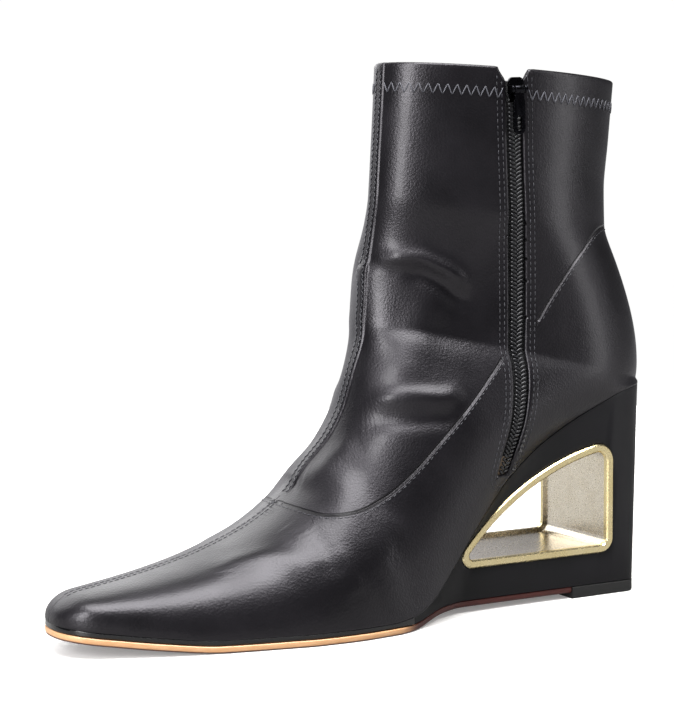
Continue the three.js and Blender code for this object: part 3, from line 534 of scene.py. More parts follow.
def metal(name, color, shade, roughness):
    """Die-cast metal, polished and plated: bright reflections over faint polishing waves."""
    made, tree, place = new_material(name)
    waves = add(tree, "ShaderNodeTexNoise", {"Scale": per_mm(7), "Detail": 2.0}, {"Vector": place})
    marks = add(tree, "ShaderNodeTexNoise", {"Scale": per_mm(0.7), "Detail": 4.0}, {"Vector": place})
    tone = add(tree, "ShaderNodeMix", {6: linear(color), 7: linear(shade)}, {0: waves.outputs["Fac"]},
               data_type="RGBA")
    gloss = add(tree, "ShaderNodeMapRange", {"From Min": 0.35, "From Max": 0.65, "To Min": roughness,
                                             "To Max": roughness + 0.08}, {"Value": marks.outputs["Fac"]})
    polish = add(tree, "ShaderNodeBump", {"Strength": 0.2, "Distance": 0.1 * MM},
                 {"Height": waves.outputs["Fac"]})
    shader = add(tree, "ShaderNodeBsdfPrincipled", {"Metallic": 1.0},
                 {"Base Color": tone.outputs[2], "Roughness": gloss.outputs["Result"],
                  "Normal": polish.outputs["Normal"]})
    add(tree, "ShaderNodeOutputMaterial", {}, {"Surface": shader.outputs["BSDF"]})
    return made


def edge_paint():
    """Acrylic edge paint in several coats, sanded between: glossy black with slight waves."""
    made, tree, place = new_material("glossy black edge paint")
    flow = add(tree, "ShaderNodeTexNoise", {"Scale": per_mm(4), "Detail": 2.0}, {"Vector": place})
    tone = add(tree, "ShaderNodeMix", {6: linear("#060607"), 7: linear("#0D0D0F")}, {0: flow.outputs["Fac"]},
               data_type="RGBA")
    run = add(tree, "ShaderNodeBump", {"Strength": 0.4, "Distance": 0.15 * MM},
              {"Height": flow.outputs["Fac"]})
    shader = add(tree, "ShaderNodeBsdfPrincipled", {"Roughness": 0.16, "IOR": 1.49, "Coat Weight": 0.3,
                                                    "Coat Roughness": 0.08},
                 {"Base Color": tone.outputs[2], "Normal": run.outputs["Normal"]})
    add(tree, "ShaderNodeOutputMaterial", {}, {"Surface": shader.outputs["BSDF"]})
    return made


def sole_rubber():
    """Moulded rubber sole, cut and waxed at its edge: tan with fine streaks along the forefoot's
    edge, and dark red-brown at the waist and underneath."""
    made, tree, place = new_material("tan and red-brown sole rubber")
    drawn_out = add(tree, "ShaderNodeMapping", {"Scale": (0.12, 0.3, 1.0)}, {"Vector": place})
    streaks = add(tree, "ShaderNodeTexNoise", {"Scale": per_mm(0.6), "Detail": 3.0},
                  {"Vector": drawn_out.outputs["Vector"]})
    tan = add(tree, "ShaderNodeMix", {6: linear("#C68E5A"), 7: linear("#E6B98E")},
              {0: streaks.outputs["Fac"]},
              data_type="RGBA")
    under = add(tree, "ShaderNodeMix", {6: linear("#3A1512"), 7: linear("#5A241D")},
                {0: streaks.outputs["Fac"]},
                data_type="RGBA")
    waxed = add(tree, "ShaderNodeAttribute", attribute_name="tan_edge").outputs["Fac"]
    color = add(tree, "ShaderNodeMix", {}, {0: waxed, 6: under.outputs[2], 7: tan.outputs[2]},
                data_type="RGBA")
    grain = add(tree, "ShaderNodeBump", {"Strength": 0.3, "Distance": 0.08 * MM},
                {"Height": streaks.outputs["Fac"]})
    shader = add(tree, "ShaderNodeBsdfPrincipled", {"Roughness": 0.36, "IOR": 1.5},
                 {"Base Color": color.outputs[2], "Normal": grain.outputs["Normal"]})
    add(tree, "ShaderNodeOutputMaterial", {}, {"Surface": shader.outputs["BSDF"]})
    return made


def lift_rubber():
    """Injected polyurethane top piece: matt black, with the mould's fine spark texture."""
    made, tree, place = new_material("matt black lift rubber")
    spark = add(tree, "ShaderNodeTexNoise", {"Scale": per_mm(0.45), "Detail": 4.0}, {"Vector": place})
    tone = add(tree, "ShaderNodeMix", {6: linear("#0A0A0A"), 7: linear("#161616")}, {0: spark.outputs["Fac"]},
               data_type="RGBA")
    rough = add(tree, "ShaderNodeBump", {"Strength": 0.5, "Distance": 0.12 * MM},
                {"Height": spark.outputs["Fac"]})
    shader = add(tree, "ShaderNodeBsdfPrincipled", {"Roughness": 0.62, "IOR": 1.5},
                 {"Base Color": tone.outputs[2], "Normal": rough.outputs["Normal"]})
    add(tree, "ShaderNodeOutputMaterial", {}, {"Surface": shader.outputs["BSDF"]})
    return made


def woven(name, color, light, thread):
    """Woven or knitted polyester: two crossed sets of raised threads, painted lighter along their bands: a
    painted highlight for the light they catch.
    """
    made, tree, place = new_material(name)
    # The bands of the pattern repeat about pi times in a unit
    rate = per_mm(thread) / math.pi
    warp, weft = (add(tree, "ShaderNodeTexWave", {"Scale": rate, "Distortion": 0.6, "Detail": 1.0},
                      {"Vector": place}, bands_direction=way).outputs["Fac"] for way in "XZ")
    threads = add(tree, "ShaderNodeMath", {}, {0: warp, 1: weft},
                  operation="MAXIMUM")
    # The lighter colour on the threads' bands is a painted highlight.
    tone = add(tree, "ShaderNodeMix", {6: linear(color), 7: linear(light)}, {0: threads.outputs[0]},
               data_type="RGBA")
    cloth = add(tree, "ShaderNodeBump", {"Strength": 0.8, "Distance": 0.12 * MM},
                {"Height": threads.outputs[0]})
    shader = add(tree, "ShaderNodeBsdfPrincipled", {"Roughness": 0.8, "IOR": 1.5, "Sheen Weight": 0.2},
                 {"Base Color": tone.outputs[2], "Normal": cloth.outputs["Normal"]})
    add(tree, "ShaderNodeOutputMaterial", {}, {"Surface": shader.outputs["BSDF"]})
    return made


def spun(name, color, light, roughness):
    """Small extruded or twisted strands, such as sewing thread and the zip's coil: each strand takes
    its own tone and a soft glint."""
    made, tree, place = new_material(name)
    strands = add(tree, "ShaderNodeTexNoise", {"Scale": per_mm(0.8), "Detail": 2.0}, {"Vector": place})
    tone = add(tree, "ShaderNodeMix", {6: linear(color), 7: linear(light)}, {0: strands.outputs["Fac"]},
               data_type="RGBA")
    twist = add(tree, "ShaderNodeBump", {"Strength": 0.4, "Distance": 0.05 * MM},
                {"Height": strands.outputs["Fac"]})
    shader = add(tree, "ShaderNodeBsdfPrincipled", {"Roughness": roughness, "IOR": 1.53},
                 {"Base Color": tone.outputs[2], "Normal": twist.outputs["Normal"]})
    add(tree, "ShaderNodeOutputMaterial", {}, {"Surface": shader.outputs["BSDF"]})
    return made


LEATHER = faux_leather()
COVER = wrapped_cover()
GOLD = metal("polished pale gold plating", "#F7E9BE", "#E6D296", 0.2)
CHAMPAGNE = metal("polished champagne plating", "#F1EADB", "#DCD1BC", 0.22)
ENAMEL = metal("black nickel plating", "#26262A", "#17171A", 0.22)
EDGE = edge_paint()
SOLE = sole_rubber()
LIFT = lift_rubber()
TAPE = woven("black woven zip tape", "#0A0A0B", "#1D1D20", 0.7)
LINING = woven("black knitted lining", "#0D0C0D", "#1F1C1E", 0.9)
SOCK = woven("beige sock lining", "#6E5B49", "#8C7862", 0.8)
THREAD = spun("black polyester thread", "#161619", "#3C3C43", 0.4)
# The zigzag's dark thread is coloured grey: a painted highlight for its glints, over its own uneven tone.
THREAD_PAINTED_GREY_FOR_GLINTS = spun("stretch thread painted grey for its glints", "#2E2E33", "#62626A", 0.4)
COIL = spun("black nylon coil", "#0C0C0E", "#1C1C20", 0.28)


# The zip's line on the inner side: at is the share of the way up from the slot's foot to the
# collar, and depth the share of the shaft's depth from the seat's back
ZIP = curves("at depth", [
    [0.000, 0.750],
    [0.037, 0.738],
    [0.142, 0.697],
    [0.283, 0.671],
    [0.450, 0.663],
    [0.624, 0.673],
    [0.813, 0.685],
    [1.000, 0.695],
])
SLOT_WIDTH = 6.6
NOTCH_WIDTH = 12
NOTCH_DEPTH = 4
ZIP_FOOT = 5.4
COIL_SINK = 0.5


def zip_x(share):
    """Place of the zip's line at a share of its height."""
    return SEAT_BACK + ZIP["depth"](share) * SHAFT_DEPTH


RIM = section(np.array([float(LAST_ROW)]))
RIM_SHARE = (zip_x(1) - RIM["back"][0, 0]) / (RIM["front"][0, 0] - RIM["back"][0, 0])
ZIP_FOOT_Z = feather_z(zip_x(0)) + ZIP_FOOT
ZIP_HEIGHT = mix(RIM["back"][0, 1], RIM["front"][0, 1], RIM_SHARE) - ZIP_FOOT_Z
ZIP_TOP = 1 - NOTCH_DEPTH / ZIP_HEIGHT


def beside_zip(share, aside):
    """Places beside the zip's line, seen from the side; aside is positive to the back."""
    share, aside = np.broadcast_arrays(np.asarray(share, float), aside)
    along = np.stack([zip_x(share + 0.01) - zip_x(share - 0.01), np.full(share.shape, 0.02 * ZIP_HEIGHT)], -1)
    along = unit(along)
    return np.stack([zip_x(share) - along[..., 1] * aside,
                     ZIP_FOOT_Z + share * ZIP_HEIGHT + along[..., 0] * aside], -1)


def off_slot(x, z):
    """How far a place lies outside the zip's slot, below 0 inside it, and the way out of it."""
    share = (z - ZIP_FOOT_Z) / ZIP_HEIGHT
    for _ in range(3):
        centre = beside_zip(share, 0)
        along = unit(beside_zip(share + 0.01, 0) - beside_zip(share - 0.01, 0))
        apart = np.stack([x, z], -1) - centre
        share = share + (apart * along).sum(-1) / ZIP_HEIGHT
    aside = apart[..., 1] * along[..., 0] - apart[..., 0] * along[..., 1]
    half = mix(SLOT_WIDTH, NOTCH_WIDTH, np.clip((share - ZIP_TOP) / (1 - ZIP_TOP), 0, 1)) / 2
    to_side = np.abs(aside) - half
    below = -share * ZIP_HEIGHT
    sideways = np.stack([-along[..., 1], along[..., 0]], -1) * np.sign(aside)[..., None]
    return np.maximum(to_side, below), np.where((below > to_side)[..., None], -along, sideways)


# Lines on the upper

def through(points, step=1.0):
    """Places on a smooth line through the points, a step apart."""
    points = np.array(points, float)
    reached = lengths_along(points)
    fine = np.linspace(0, reached[-1], max(int(reached[-1] / step), 3) + 1)
    return np.stack([smooth(reached, points[:, k])(fine) for k in range(points.shape[1])], -1)


def on_upper(points, side, step=1.0):
    """A line on one side of the upper through places given as seen from the side."""
    line = through(points, step)
    return np.stack([line[:, 0], side_y(line[:, 0], line[:, 1], side), line[:, 1]], -1)


def beside_line(points, normals, line):
    """Distance of each point from a line, below 0 on its right, and the share of the way along it."""
    ahead = unit(np.gradient(line, axis=0))
    distance, share = np.empty(len(points)), np.empty(len(points))
    for start in range(0, len(points), 8192):
        part = slice(start, start + 8192)
        apart = points[part, None] - line[None]
        near = (apart ** 2).sum(-1).argmin(-1)
        offset = points[part] - line[near]
        offset = offset - (offset * ahead[near]).sum(-1, keepdims=True) * ahead[near]
        ends = (near == 0) | (near == len(line) - 1)
        offset = np.where(ends[:, None], points[part] - line[near], offset)
        left = (np.cross(normals[part], ahead[near]) * offset).sum(-1)
        distance[part] = np.linalg.norm(offset, axis=-1) * np.where(left < 0, -1, 1)
        share[part] = near / (len(line) - 1)
    return distance, share


# The panel seam runs from the zip down over the vamp, across the front, up the outer side to the
# back of the ankle and forward again to the zip
VAMP_SEAM = [(51.3, 92.3), (64.5, 79.5), (79.2, 65.8), (91.1, 54.6), (102.4, 46.6), (113.3, 42.6),
             (121.8, 41.6), (127.5, 43.0), (130.6, 44.8)]
COUNTER_SEAM = [(-11.2, 139.4), (-0.7, 138.6), (15.9, 128.6), (26.9, 116.4), (34.2, 106.0)]
OUTER_SEAM = [*VAMP_SEAM[:0:-1], (48.3, 92.5), *COUNTER_SEAM[::-1]]
SEAMS = ((VAMP_SEAM, MEDIAL), (OUTER_SEAM, LATERAL), (COUNTER_SEAM, MEDIAL))

# Creases and swells of the soft leather: a side, a line of places as seen from the side, the height
# over the smooth form (a trough where it is below 0), and the half width
FOLDS = [
    # The arch over the ankle bone, with the hollow under it
    (MEDIAL, [(91, 127), (85, 129.6), (79, 129.4), (73.2, 126.8), (68, 124), (61, 117)], 1.9, 3.1),
    (MEDIAL, [(84, 123), (78, 123.2), (72, 120.3), (66.5, 115.5), (62, 109)], -1.1, 3.8),
    # The swell that runs down from the arch to the instep, and the hollow between it and the zip
    (MEDIAL, [(69.5, 119), (75.9, 110), (81.6, 99), (87.4, 89), (91.4, 82)], 1.0, 7.0),
    (MEDIAL, [(50, 146), (52, 134), (55, 122), (59, 112), (64, 102)], -0.6, 7.5),
    # The crease across the instep
    (MEDIAL, [(101, 77.5), (95, 80.4), (87, 81.2), (76, 80.6), (68, 83)], 1.2, 3.3),
    (MEDIAL, [(102, 70.5), (95, 72.8), (87, 72.8), (78, 72.8), (70, 76)], -1.1, 3.7),
    (MEDIAL, [(122, 49.4), (117.5, 53.4), (111.5, 59), (104, 65)], 0.8, 5.5),
    # Over the ball of the foot
    (MEDIAL, [(163, 24.5), (152, 28.2), (143, 29.6), (136, 27.5), (131, 22)], 0.6, 5.0),
    (MEDIAL, [(133, 38), (131, 33), (128.5, 25)], 0.35, 3.0),
    (MEDIAL, [(128.5, 37), (126, 30), (123, 22)], -0.35, 3.2),
    (MEDIAL, [(124, 32), (120.5, 24), (117.5, 15)], 0.35, 3.4),
    (MEDIAL, [(111.5, 21), (106, 31.7), (98.4, 41)], 0.5, 6.5),
    # The outer side of the ankle, which bulges past the front
    (LATERAL, [(91, 130.5), (95, 124), (99, 114), (103, 104)], 2.0, 6.5),
    (LATERAL, [(84, 138), (78, 137.5), (69, 134), (60, 127)], -0.9, 4.2),
    (LATERAL, [(82, 130), (75, 128), (66, 122), (57, 113)], 1.0, 5.0),
    (LATERAL, [(100, 78), (94, 80.6), (86, 81), (76, 80)], 0.8, 3.8),
    (LATERAL, [(101, 70.5), (94, 72.6), (86, 73), (77, 73)], -0.8, 4.2),
    (LATERAL, [(152, 26.5), (143, 28), (135, 25)], 0.5, 5.0),
    (LATERAL, [(20, 118), (30, 110), (42, 104)], 0.6, 6.0),
]


# The upper

SKIN_STEP = 1.28
SKIN_COLUMNS = 116
LINING_STEP = 2.6
LINING_COLUMNS = 60
# The tape runs over the front from the vamp seam to the collar; points lie close together at its edge
TAPE_HALF = 2.6
TAPE_RAISE = 0.5
TAPE_EDGE = 0.7
TAPE_FOOT_ROW = 5.6
TAPE_PLACES = [0, 0.9, 1.7, 2.15, 2.45, 2.75, 3.1, 3.7]
# Below this length of a half section the places of the tape are drawn together
FULL_HALF_GIRTH = 40
# Radius of the folded edges, how far the leather is tucked under, and how far from a seam its line
# is still told to the material
FOLD_RADIUS = 0.9
TUCK = 2.0
SEAM_REACH = 6


def skin_rows(step):
    """Places of the rows of points, with no two rows further apart than a step."""
    round_tip = 0.5
    close = np.linspace(0, 1, 300)[:-1] ** 3 * round_tip
    fine = np.r_[close, np.linspace(round_tip, LAST_ROW, 2400)]
    apart = np.zeros(len(fine) - 1)
    for side in (MEDIAL, LATERAL):
        points = half_sections(fine, side, steps=16)
        apart = np.maximum(apart, np.linalg.norm(np.diff(points, axis=0), axis=-1).max(-1))
    reached = np.r_[0, np.cumsum(apart)]
    return np.interp(np.linspace(0, reached[-1], int(reached[-1] / step) + 1), reached, fine)


def skin_columns(length, count):
    """Distances from the crest: close together over the raised tape, then even."""
    close = np.array(TAPE_PLACES) * np.minimum(1, length / FULL_HALF_GIRTH)[:, None]
    even = np.linspace(0, 1, count - close.shape[1] + 2)[1:]
    return np.hstack([close, close[:, -1:] + (length[:, None] - close[:, -1:]) * even])


def skin_grid(rows, count, inset=0.0):
    """Points across the upper, from the feather line of the outer side over the crest to that of
    the inner side, with each point's distance from the crest."""
    sheets, crests = [], []
    for side in (LATERAL, MEDIAL):
        points = half_sections(rows, side, inset)
        wanted = skin_columns(lengths_along(points)[:, -1], count)
        sheets.append(resample(points, wanted))
        crests.append(wanted)
    grid = np.concatenate([sheets[0][:, ::-1], sheets[1][:, 1:]], 1)
    return grid, np.concatenate([crests[0][:, ::-1], crests[1][:, 1:]], 1)


def eased(grid, rows):
    """The grid with the turn of its sections over the seat softened, and its lower edge kept in place."""
    first_row, last_row, fade = 8, 16, 1.5
    held_columns = 14
    rounds = 90
    amount = ease((rows - first_row) / fade) * ease((last_row - rows) / fade)
    column = np.arange(grid.shape[1])
    inward = np.minimum(column, column[::-1]) / held_columns
    over_seat = rows > SEAT_ROW + 0.6
    free = np.where(over_seat[:, None], 1.0, ease(inward)[None])
    weight = (amount[:, None] * free)[1:-1, :, None] * 0.25
    soft = grid.copy()
    for _ in range(rounds):
        soft[1:-1] += (soft[:-2] - 2 * soft[1:-1] + soft[2:]) * weight
    return soft


def grid_normals(grid, rows):
    """The way out of the boot at each point of the grid, the same on both sides of the back's seam."""
    normals = unit(np.cross(np.gradient(grid, axis=0), np.gradient(grid, axis=1)))
    if normals[:, -1, 1].sum() < 0:
        normals = -normals
    closed = rows >= SEAT_ROW
    back = unit(normals[closed, 0] + normals[closed, -1])
    normals[closed, 0] = normals[closed, -1] = back
    return normals


def folded(points, normals):
    """Height of the creases and swells over each point."""
    height = np.zeros(len(points))
    for side, places, rise, half_width in FOLDS:
        line = on_upper(places, side)
        reach = half_width * 3  # past this the swell is thinner than a hair
        near = ((points > line.min(0) - reach) & (points < line.max(0) + reach)).all(-1)
        distance, share = beside_line(points[near], normals[near], line)
        # A swell keeps a little of its height at its ends, and reaches all of it a quarter of the way in
        fade = ease(np.minimum(share, 1 - share) / 0.3 + 0.15)
        height[near] += rise * np.exp(-(distance / half_width) ** 2) * fade
    return height


def cut_slot(shell, room):
    """Cuts the zip's slot and its notch, wider by some room on every side."""
    lowest = (ZIP_FOOT_Z - 6) * MM
    vertices = [vertex for vertex in shell.verts if vertex.co.y > 0 and vertex.co.z > lowest]
    places = np.array([vertex.co for vertex in vertices]) / MM
    off, way = off_slot(places[:, 0], places[:, 2])
    off = off - room
    distances = {vertex: distance for vertex, distance in zip(vertices, off)}
    moves = {vertex: Vector((out[0], 0, out[1])) for vertex, out in zip(vertices, way)}
    snap = 0.55 * SKIN_STEP

    def to_edge(vertex):
        """The move along the leather that brings a point onto the slot's edge."""
        move = moves[vertex] * (-distances[vertex] * MM)
        normal = vertex.normal
        move.y = -(normal.x * move.x + normal.z * move.z) / max(normal.y, 0.2)
        distances[vertex] = 0.0
        return move

    shell.normal_update()
    shifts = {vertex: to_edge(vertex) for vertex in vertices if abs(distances[vertex]) < snap}
    inside = [face for face in shell.faces if all(distances.get(vertex, 1) <= 1e-6 for vertex in face.verts)]
    kept = {vertex for face in set(shell.faces) - set(inside) for vertex in face.verts}
    shifts.update({vertex: to_edge(vertex) for vertex in kept if distances.get(vertex, 1) < -1e-6})
    for vertex, shift in shifts.items():
        vertex.co += shift
    bmesh.ops.delete(shell, geom=inside, context="FACES")


def roll_edges(shell, radius, tuck):
    """Folds every open edge inwards over half a round, and tucks it under."""
    shell.normal_update()
    edges = [edge for edge in shell.edges if edge.is_boundary]
    outward = {}
    for edge in edges:
        face = edge.link_faces[0]
        away = (edge.verts[1].co - edge.verts[0].co).cross(face.normal)
        if away.dot(edge.verts[0].co - face.calc_center_median()) < 0:
            away.negate()
        if away.length > 0:
            for vertex in edge.verts:
                outward[vertex] = outward.get(vertex, Vector()) + away.normalized()
    layers = list(shell.verts.layers.float.values())
    angles = [math.pi * k / 6 for k in range(1, 7)]
    chains = {}
    for vertex, away in outward.items():
        away, normal = away.normalized(), vertex.normal.copy()
        places = [vertex.co + (away * math.sin(a) + normal * (math.cos(a) - 1)) * radius for a in angles]
        places.append(vertex.co - normal * (2 * radius + 0.2 * MM) - away * tuck)
        chains[vertex] = [vertex] + [shell.verts.new(place) for place in places]
        for made in chains[vertex][1:]:
            for layer in layers:
                made[layer] = vertex[layer]
    for edge in edges:
        loop = edge.link_loops[0]
        first, second = chains[loop.vert], chains[loop.link_loop_next.vert]
        for k in range(len(first) - 1):
            shell.faces.new((second[k], first[k], first[k + 1], second[k + 1]))


def grid_faces_out(grid):
    """Whether faces in the grid's own order point out of the boot on its inner side."""
    facing = np.cross(grid[1:, :-1] - grid[:-1, :-1], grid[:-1, 1:] - grid[:-1, :-1])
    return facing[:, grid.shape[1] * 3 // 4, 1].sum() > 0


def make_upper():
    """The leather of the upper, with its tape, its folds, the slot for the zip and folded edges."""
    rows = skin_rows(SKIN_STEP)
    grid, crest = skin_grid(rows, SKIN_COLUMNS)
    grid = eased(grid, rows)
    normals = grid_normals(grid, rows)
    flat, flat_normals = grid.reshape(-1, 3), normals.reshape(-1, 3)
    seam = np.concatenate([on_upper(line, side) for line, side in SEAMS])
    across, _ = beside_line(flat, flat_normals, seam)
    across = np.clip(across, -SEAM_REACH, SEAM_REACH)
    on_vamp = rows[:, None] < TAPE_FOOT_ROW
    front = np.where(on_vamp, np.minimum(crest, SEAM_REACH), SEAM_REACH)
    above = ease((rows - TAPE_FOOT_ROW) / 0.8)[:, None]
    tape = TAPE_RAISE * above * (1 - ease((crest - TAPE_HALF) / TAPE_EDGE + 0.5))
    height = folded(flat, flat_normals).reshape(crest.shape) + tape
    raised = grid + normals * height[..., None]
    shell = sheet_of(raised, grid_faces_out(grid), {"seam": across, "front_seam": front})
    cut_slot(shell, FOLD_RADIUS)
    roll_edges(shell, FOLD_RADIUS * MM, TUCK * MM)
    upper = piece_from("upper_skin", shell, LEATHER)
    finish_piece(upper, "boot", "upper_leather", "upper")
    return upper


def make_lining():
    """The knitted inner side of the upper, a wall's thickness inside the leather."""
    rows = skin_rows(LINING_STEP)
    grid, _ = skin_grid(rows, LINING_COLUMNS, WALL)
    shell = sheet_of(grid, not grid_faces_out(grid), {})
    cut_slot(shell, FOLD_RADIUS)
    finish_piece(piece_from("upper_lining", shell, LINING), "boot", "upper_leather")


# The bottom

WAIST = curves("at flare lift", [
    [0.00, 0.00, 1.00],
    [0.37, 0.03, 1.00],
    [0.41, 0.28, 0.90],
    [0.45, 0.60, 0.45],
    [0.48, 0.84, 0.08],
    [0.50, 0.95, 0.00],
    [0.52, 1.00, 0.00],
])
WEDGE_TIP = SEAT_BACK + 0.497 * LENGTH
WEDGE_FOOT_BACK = -TOP_PIECE_LENGTH / 2
OUTSOLE_PROUD = 0.3
OUTSOLE_INSIDE = 0.5
SOCK_BOARD = 2.4
SOCK_ROOM = 1.3
# The tan of the sole's edge starts by the wedge's tip, and deepens over a short way
TAN_START = 92
TAN_FADE = 10


def foot_edge(x, side):
    """Half width at the foot of the wedge, and of the sole under it."""
    flare = WAIST["flare"]((x - SEAT_BACK) / LENGTH)
    wide = WEDGE_WIDTH / 2 + flare * (feather_edge(x, side) - WEDGE_WIDTH / 2)
    wide = np.where(TIP_X - x < TOE_ROUNDING, feather_edge(x, side), wide)
    return wide * rounded((x - WEDGE_FOOT_BACK) / TOP_PIECE_CORNER, 2.6)


def sole_bottom(x):
    """Height of the sole's underside over the floor."""
    at = (x - SEAT_BACK) / LENGTH
    return WAIST["lift"](at) * (TOP_PIECE - OUTSOLE) + FEATHER["spring"](at) * TOE_SPRING


def places(start, end, count, round_start=0, round_end=0):
    """Places from one end to the other, closer together where the ends are rounded."""
    even = np.linspace(0, 1, count + 1)
    close = np.linspace(0, 1, 17)[:-1] ** 3
    span = end - start
    return np.unique(np.concatenate([
        start + even[(even * span > round_start) & ((1 - even) * span > round_end)] * span,
        start + close * round_start, end - close * round_end, [start, end]]))


def slab(name, along, levels, material, attributes=None):
    """A closed layer of the bottom; each level gives its points for places along the boot and a side,
    and each attribute its values for the points."""
    rings = np.concatenate([np.stack([level(along, MEDIAL) for level in levels], 1),
                            np.stack([level(along, LATERAL) for level in levels], 1)[:, ::-1]], 1)
    count = rings.shape[1]
    index = np.arange(len(along) * count).reshape(len(along), count)
    sides = grid_quads(np.concatenate([index, index[:, :1]], 1))
    ends = [[ring[j], ring[j + 1], ring[-2 - j], ring[-1 - j]]
            for ring in (index[0].tolist(), index[-1].tolist()) for j in range(count // 2 - 1)]
    labels = {label: values(rings) for label, values in (attributes or {}).items()}
    piece = closed_piece(name, rings, [*sides.tolist(), *ends], material, labels)
    piece.data.set_sharp_from_angle(angle=math.radians(38))
    return piece


def levels_on(base, edge, steps):
    """Levels of a layer: each step is a height over the base and a distance that the edge is drawn in."""
    def level(rise, drawn_in):
        def points(x, side):
            half = np.maximum(edge(x, side) - drawn_in, 0)
            return np.stack([x, side * half, base(x) + rise], -1)
        return points
    return [level(*step) for step in steps]


def sole_edge(x, side):
    """Half width of the sole: just inside the wedge's foot, and just outside the rand at the forefoot."""
    flare = WAIST["flare"]((x - SEAT_BACK) / LENGTH)
    inner = np.minimum(x, TIP_X - 0.01)
    return foot_edge(inner, side) + flare * (OUTSOLE_PROUD + OUTSOLE_INSIDE) - OUTSOLE_INSIDE


def tan_edge(rings):
    """1 on the painted edge of the forefoot, 0 at the waist and underneath."""
    forward = ease((rings[..., 0] - TAN_START) / TAN_FADE)
    upright = np.array([0, 0, 1, 1, 1, 1, 1, 1, 0, 0])
    return forward * upright


def make_outsole():
    """The moulded sole, from the heel lift to the toe."""
    along = places(TOP_PIECE_LENGTH / 2 + GAP, TIP_X, 110, round_end=TOE_ROUNDING)
    levels = levels_on(sole_bottom, sole_edge, [
        (0, 1.0), (0.35, 0.35), (0.8, 0), (OUTSOLE - 0.2, 0), (OUTSOLE, 0.2)])
    sole = slab("outsole_moulded", along, levels, SOLE, {"tan_edge": tan_edge})
    finish_piece(sole, "boot", "outsole_rubber", "outsole")


def make_rand():
    """The painted edge between sole and upper, round the forefoot."""
    along = places(WEDGE_TIP + GAP, TIP_X, 90, round_end=TOE_ROUNDING)
    foot = OUTSOLE + GAP
    levels = [*levels_on(sole_bottom, feather_edge, [(foot, 0.4), (foot + 0.3, 0)]),
              *levels_on(feather_z, feather_edge, [(-GAP - 0.3, 0), (-GAP, 0.4)])]
    finish_piece(slab("rand_edge", along, levels, EDGE), "boot", "black_rand", "rand")


def make_heel_lift():
    """The rubber under the back of the wedge."""
    along = places(WEDGE_FOOT_BACK, TOP_PIECE_LENGTH / 2, 16, round_start=TOP_PIECE_CORNER)
    levels = levels_on(np.zeros_like, foot_edge, [
        (0, 0.5), (0.5, 0), (TOP_PIECE - 0.3, 0), (TOP_PIECE, 0.3)])
    finish_piece(slab("heel_lift", along, levels, LIFT), "boot", "top_piece_rubber", "heel_top_piece")


def make_sock():
    """The sock board inside the upper, from the seat to the toe."""
    inset = WALL + GAP + SOCK_ROOM
    along = places(SEAT_BACK + inset, TIP_X - inset, 100, SEAT_ROUNDING - inset, TOE_ROUNDING)
    levels = levels_on(feather_z, lambda x, side: feather_edge(x, side, inset), [
        (0, 0), (SOCK_BOARD - 0.7, 0), (SOCK_BOARD, 0.7)])
    finish_piece(slab("sock_board", along, levels, SOCK), "boot", "insole_board", "insole")


# The window through the wedge, and its frame

WINDOW_HEIGHT = 41.4
WINDOW_BACK = -1.6
WINDOW_BOTTOM = 16.5
WINDOW_NOSE = 14.3
WINDOW_BACK_RADIUS = 5.6
WINDOW_FRONT_RADIUS = 4.6
WINDOW_TOP_RADIUS = 6.8
WINDOW_SLOPE_RADIUS = 105
RIM_WIDTH = 3.0
RIM_DEPTH = 2.2
RIM_PROUD = 1.2
FRAME_WALL = 1.8


def slope_at(height):
    """The place along the wedge's slope where the feather line is at a height."""
    back, front = SEAT_BACK, WEDGE_TIP
    for _ in range(40):
        middle = (back + front) / 2
        back, front = (middle, front) if feather_z(middle) > height else (back, middle)
    return back


def window_outline(inset):
    """The window's outline drawn in by inset: three round corners and a shallow arc under the foot."""
    end = slope_at(WINDOW_BOTTOM + WINDOW_NOSE)
    top = WINDOW_BOTTOM + WINDOW_HEIGHT
    back = np.array([WINDOW_BACK + WINDOW_BACK_RADIUS, WINDOW_BOTTOM + WINDOW_BACK_RADIUS])
    front = np.array([end - WINDOW_FRONT_RADIUS, WINDOW_BOTTOM + WINDOW_FRONT_RADIUS])
    corner = np.array([WINDOW_BACK + WINDOW_TOP_RADIUS, top - WINDOW_TOP_RADIUS])
    to_front, to_top = WINDOW_SLOPE_RADIUS - WINDOW_FRONT_RADIUS, WINDOW_SLOPE_RADIUS - WINDOW_TOP_RADIUS
    chord = corner - front
    squared = chord @ chord
    share = (squared + to_front ** 2 - to_top ** 2) / (2 * squared)
    height = math.sqrt(to_front ** 2 - share ** 2 * squared)
    centre = front + chord * share + unit(np.array([-chord[1], chord[0]])) * height
    slope_start = math.atan2(*(front - centre)[::-1]) % math.tau
    slope_end = math.atan2(*(corner - centre)[::-1]) % math.tau
    arcs = [(back, WINDOW_BACK_RADIUS, math.pi, math.pi * 1.5, 14),
            (front, WINDOW_FRONT_RADIUS, math.pi * 1.5, math.tau + slope_start, 18),
            (centre, WINDOW_SLOPE_RADIUS, slope_start, slope_end, 30),
            (corner, WINDOW_TOP_RADIUS, slope_end, math.pi, 18)]
    outline = []
    for middle, radius, start, stop, steps in arcs:
        angles = start + (stop - start) * (np.arange(steps) + 0.5) / steps
        outline.append(middle + (radius - inset) * np.stack([np.cos(angles), np.sin(angles)], -1))
    return np.concatenate(outline)


def at_depth(outline, y):
    """The points of an outline seen from the side, at one depth across the boot."""
    return np.column_stack([outline[:, 0], np.full(len(outline), y), outline[:, 1]])


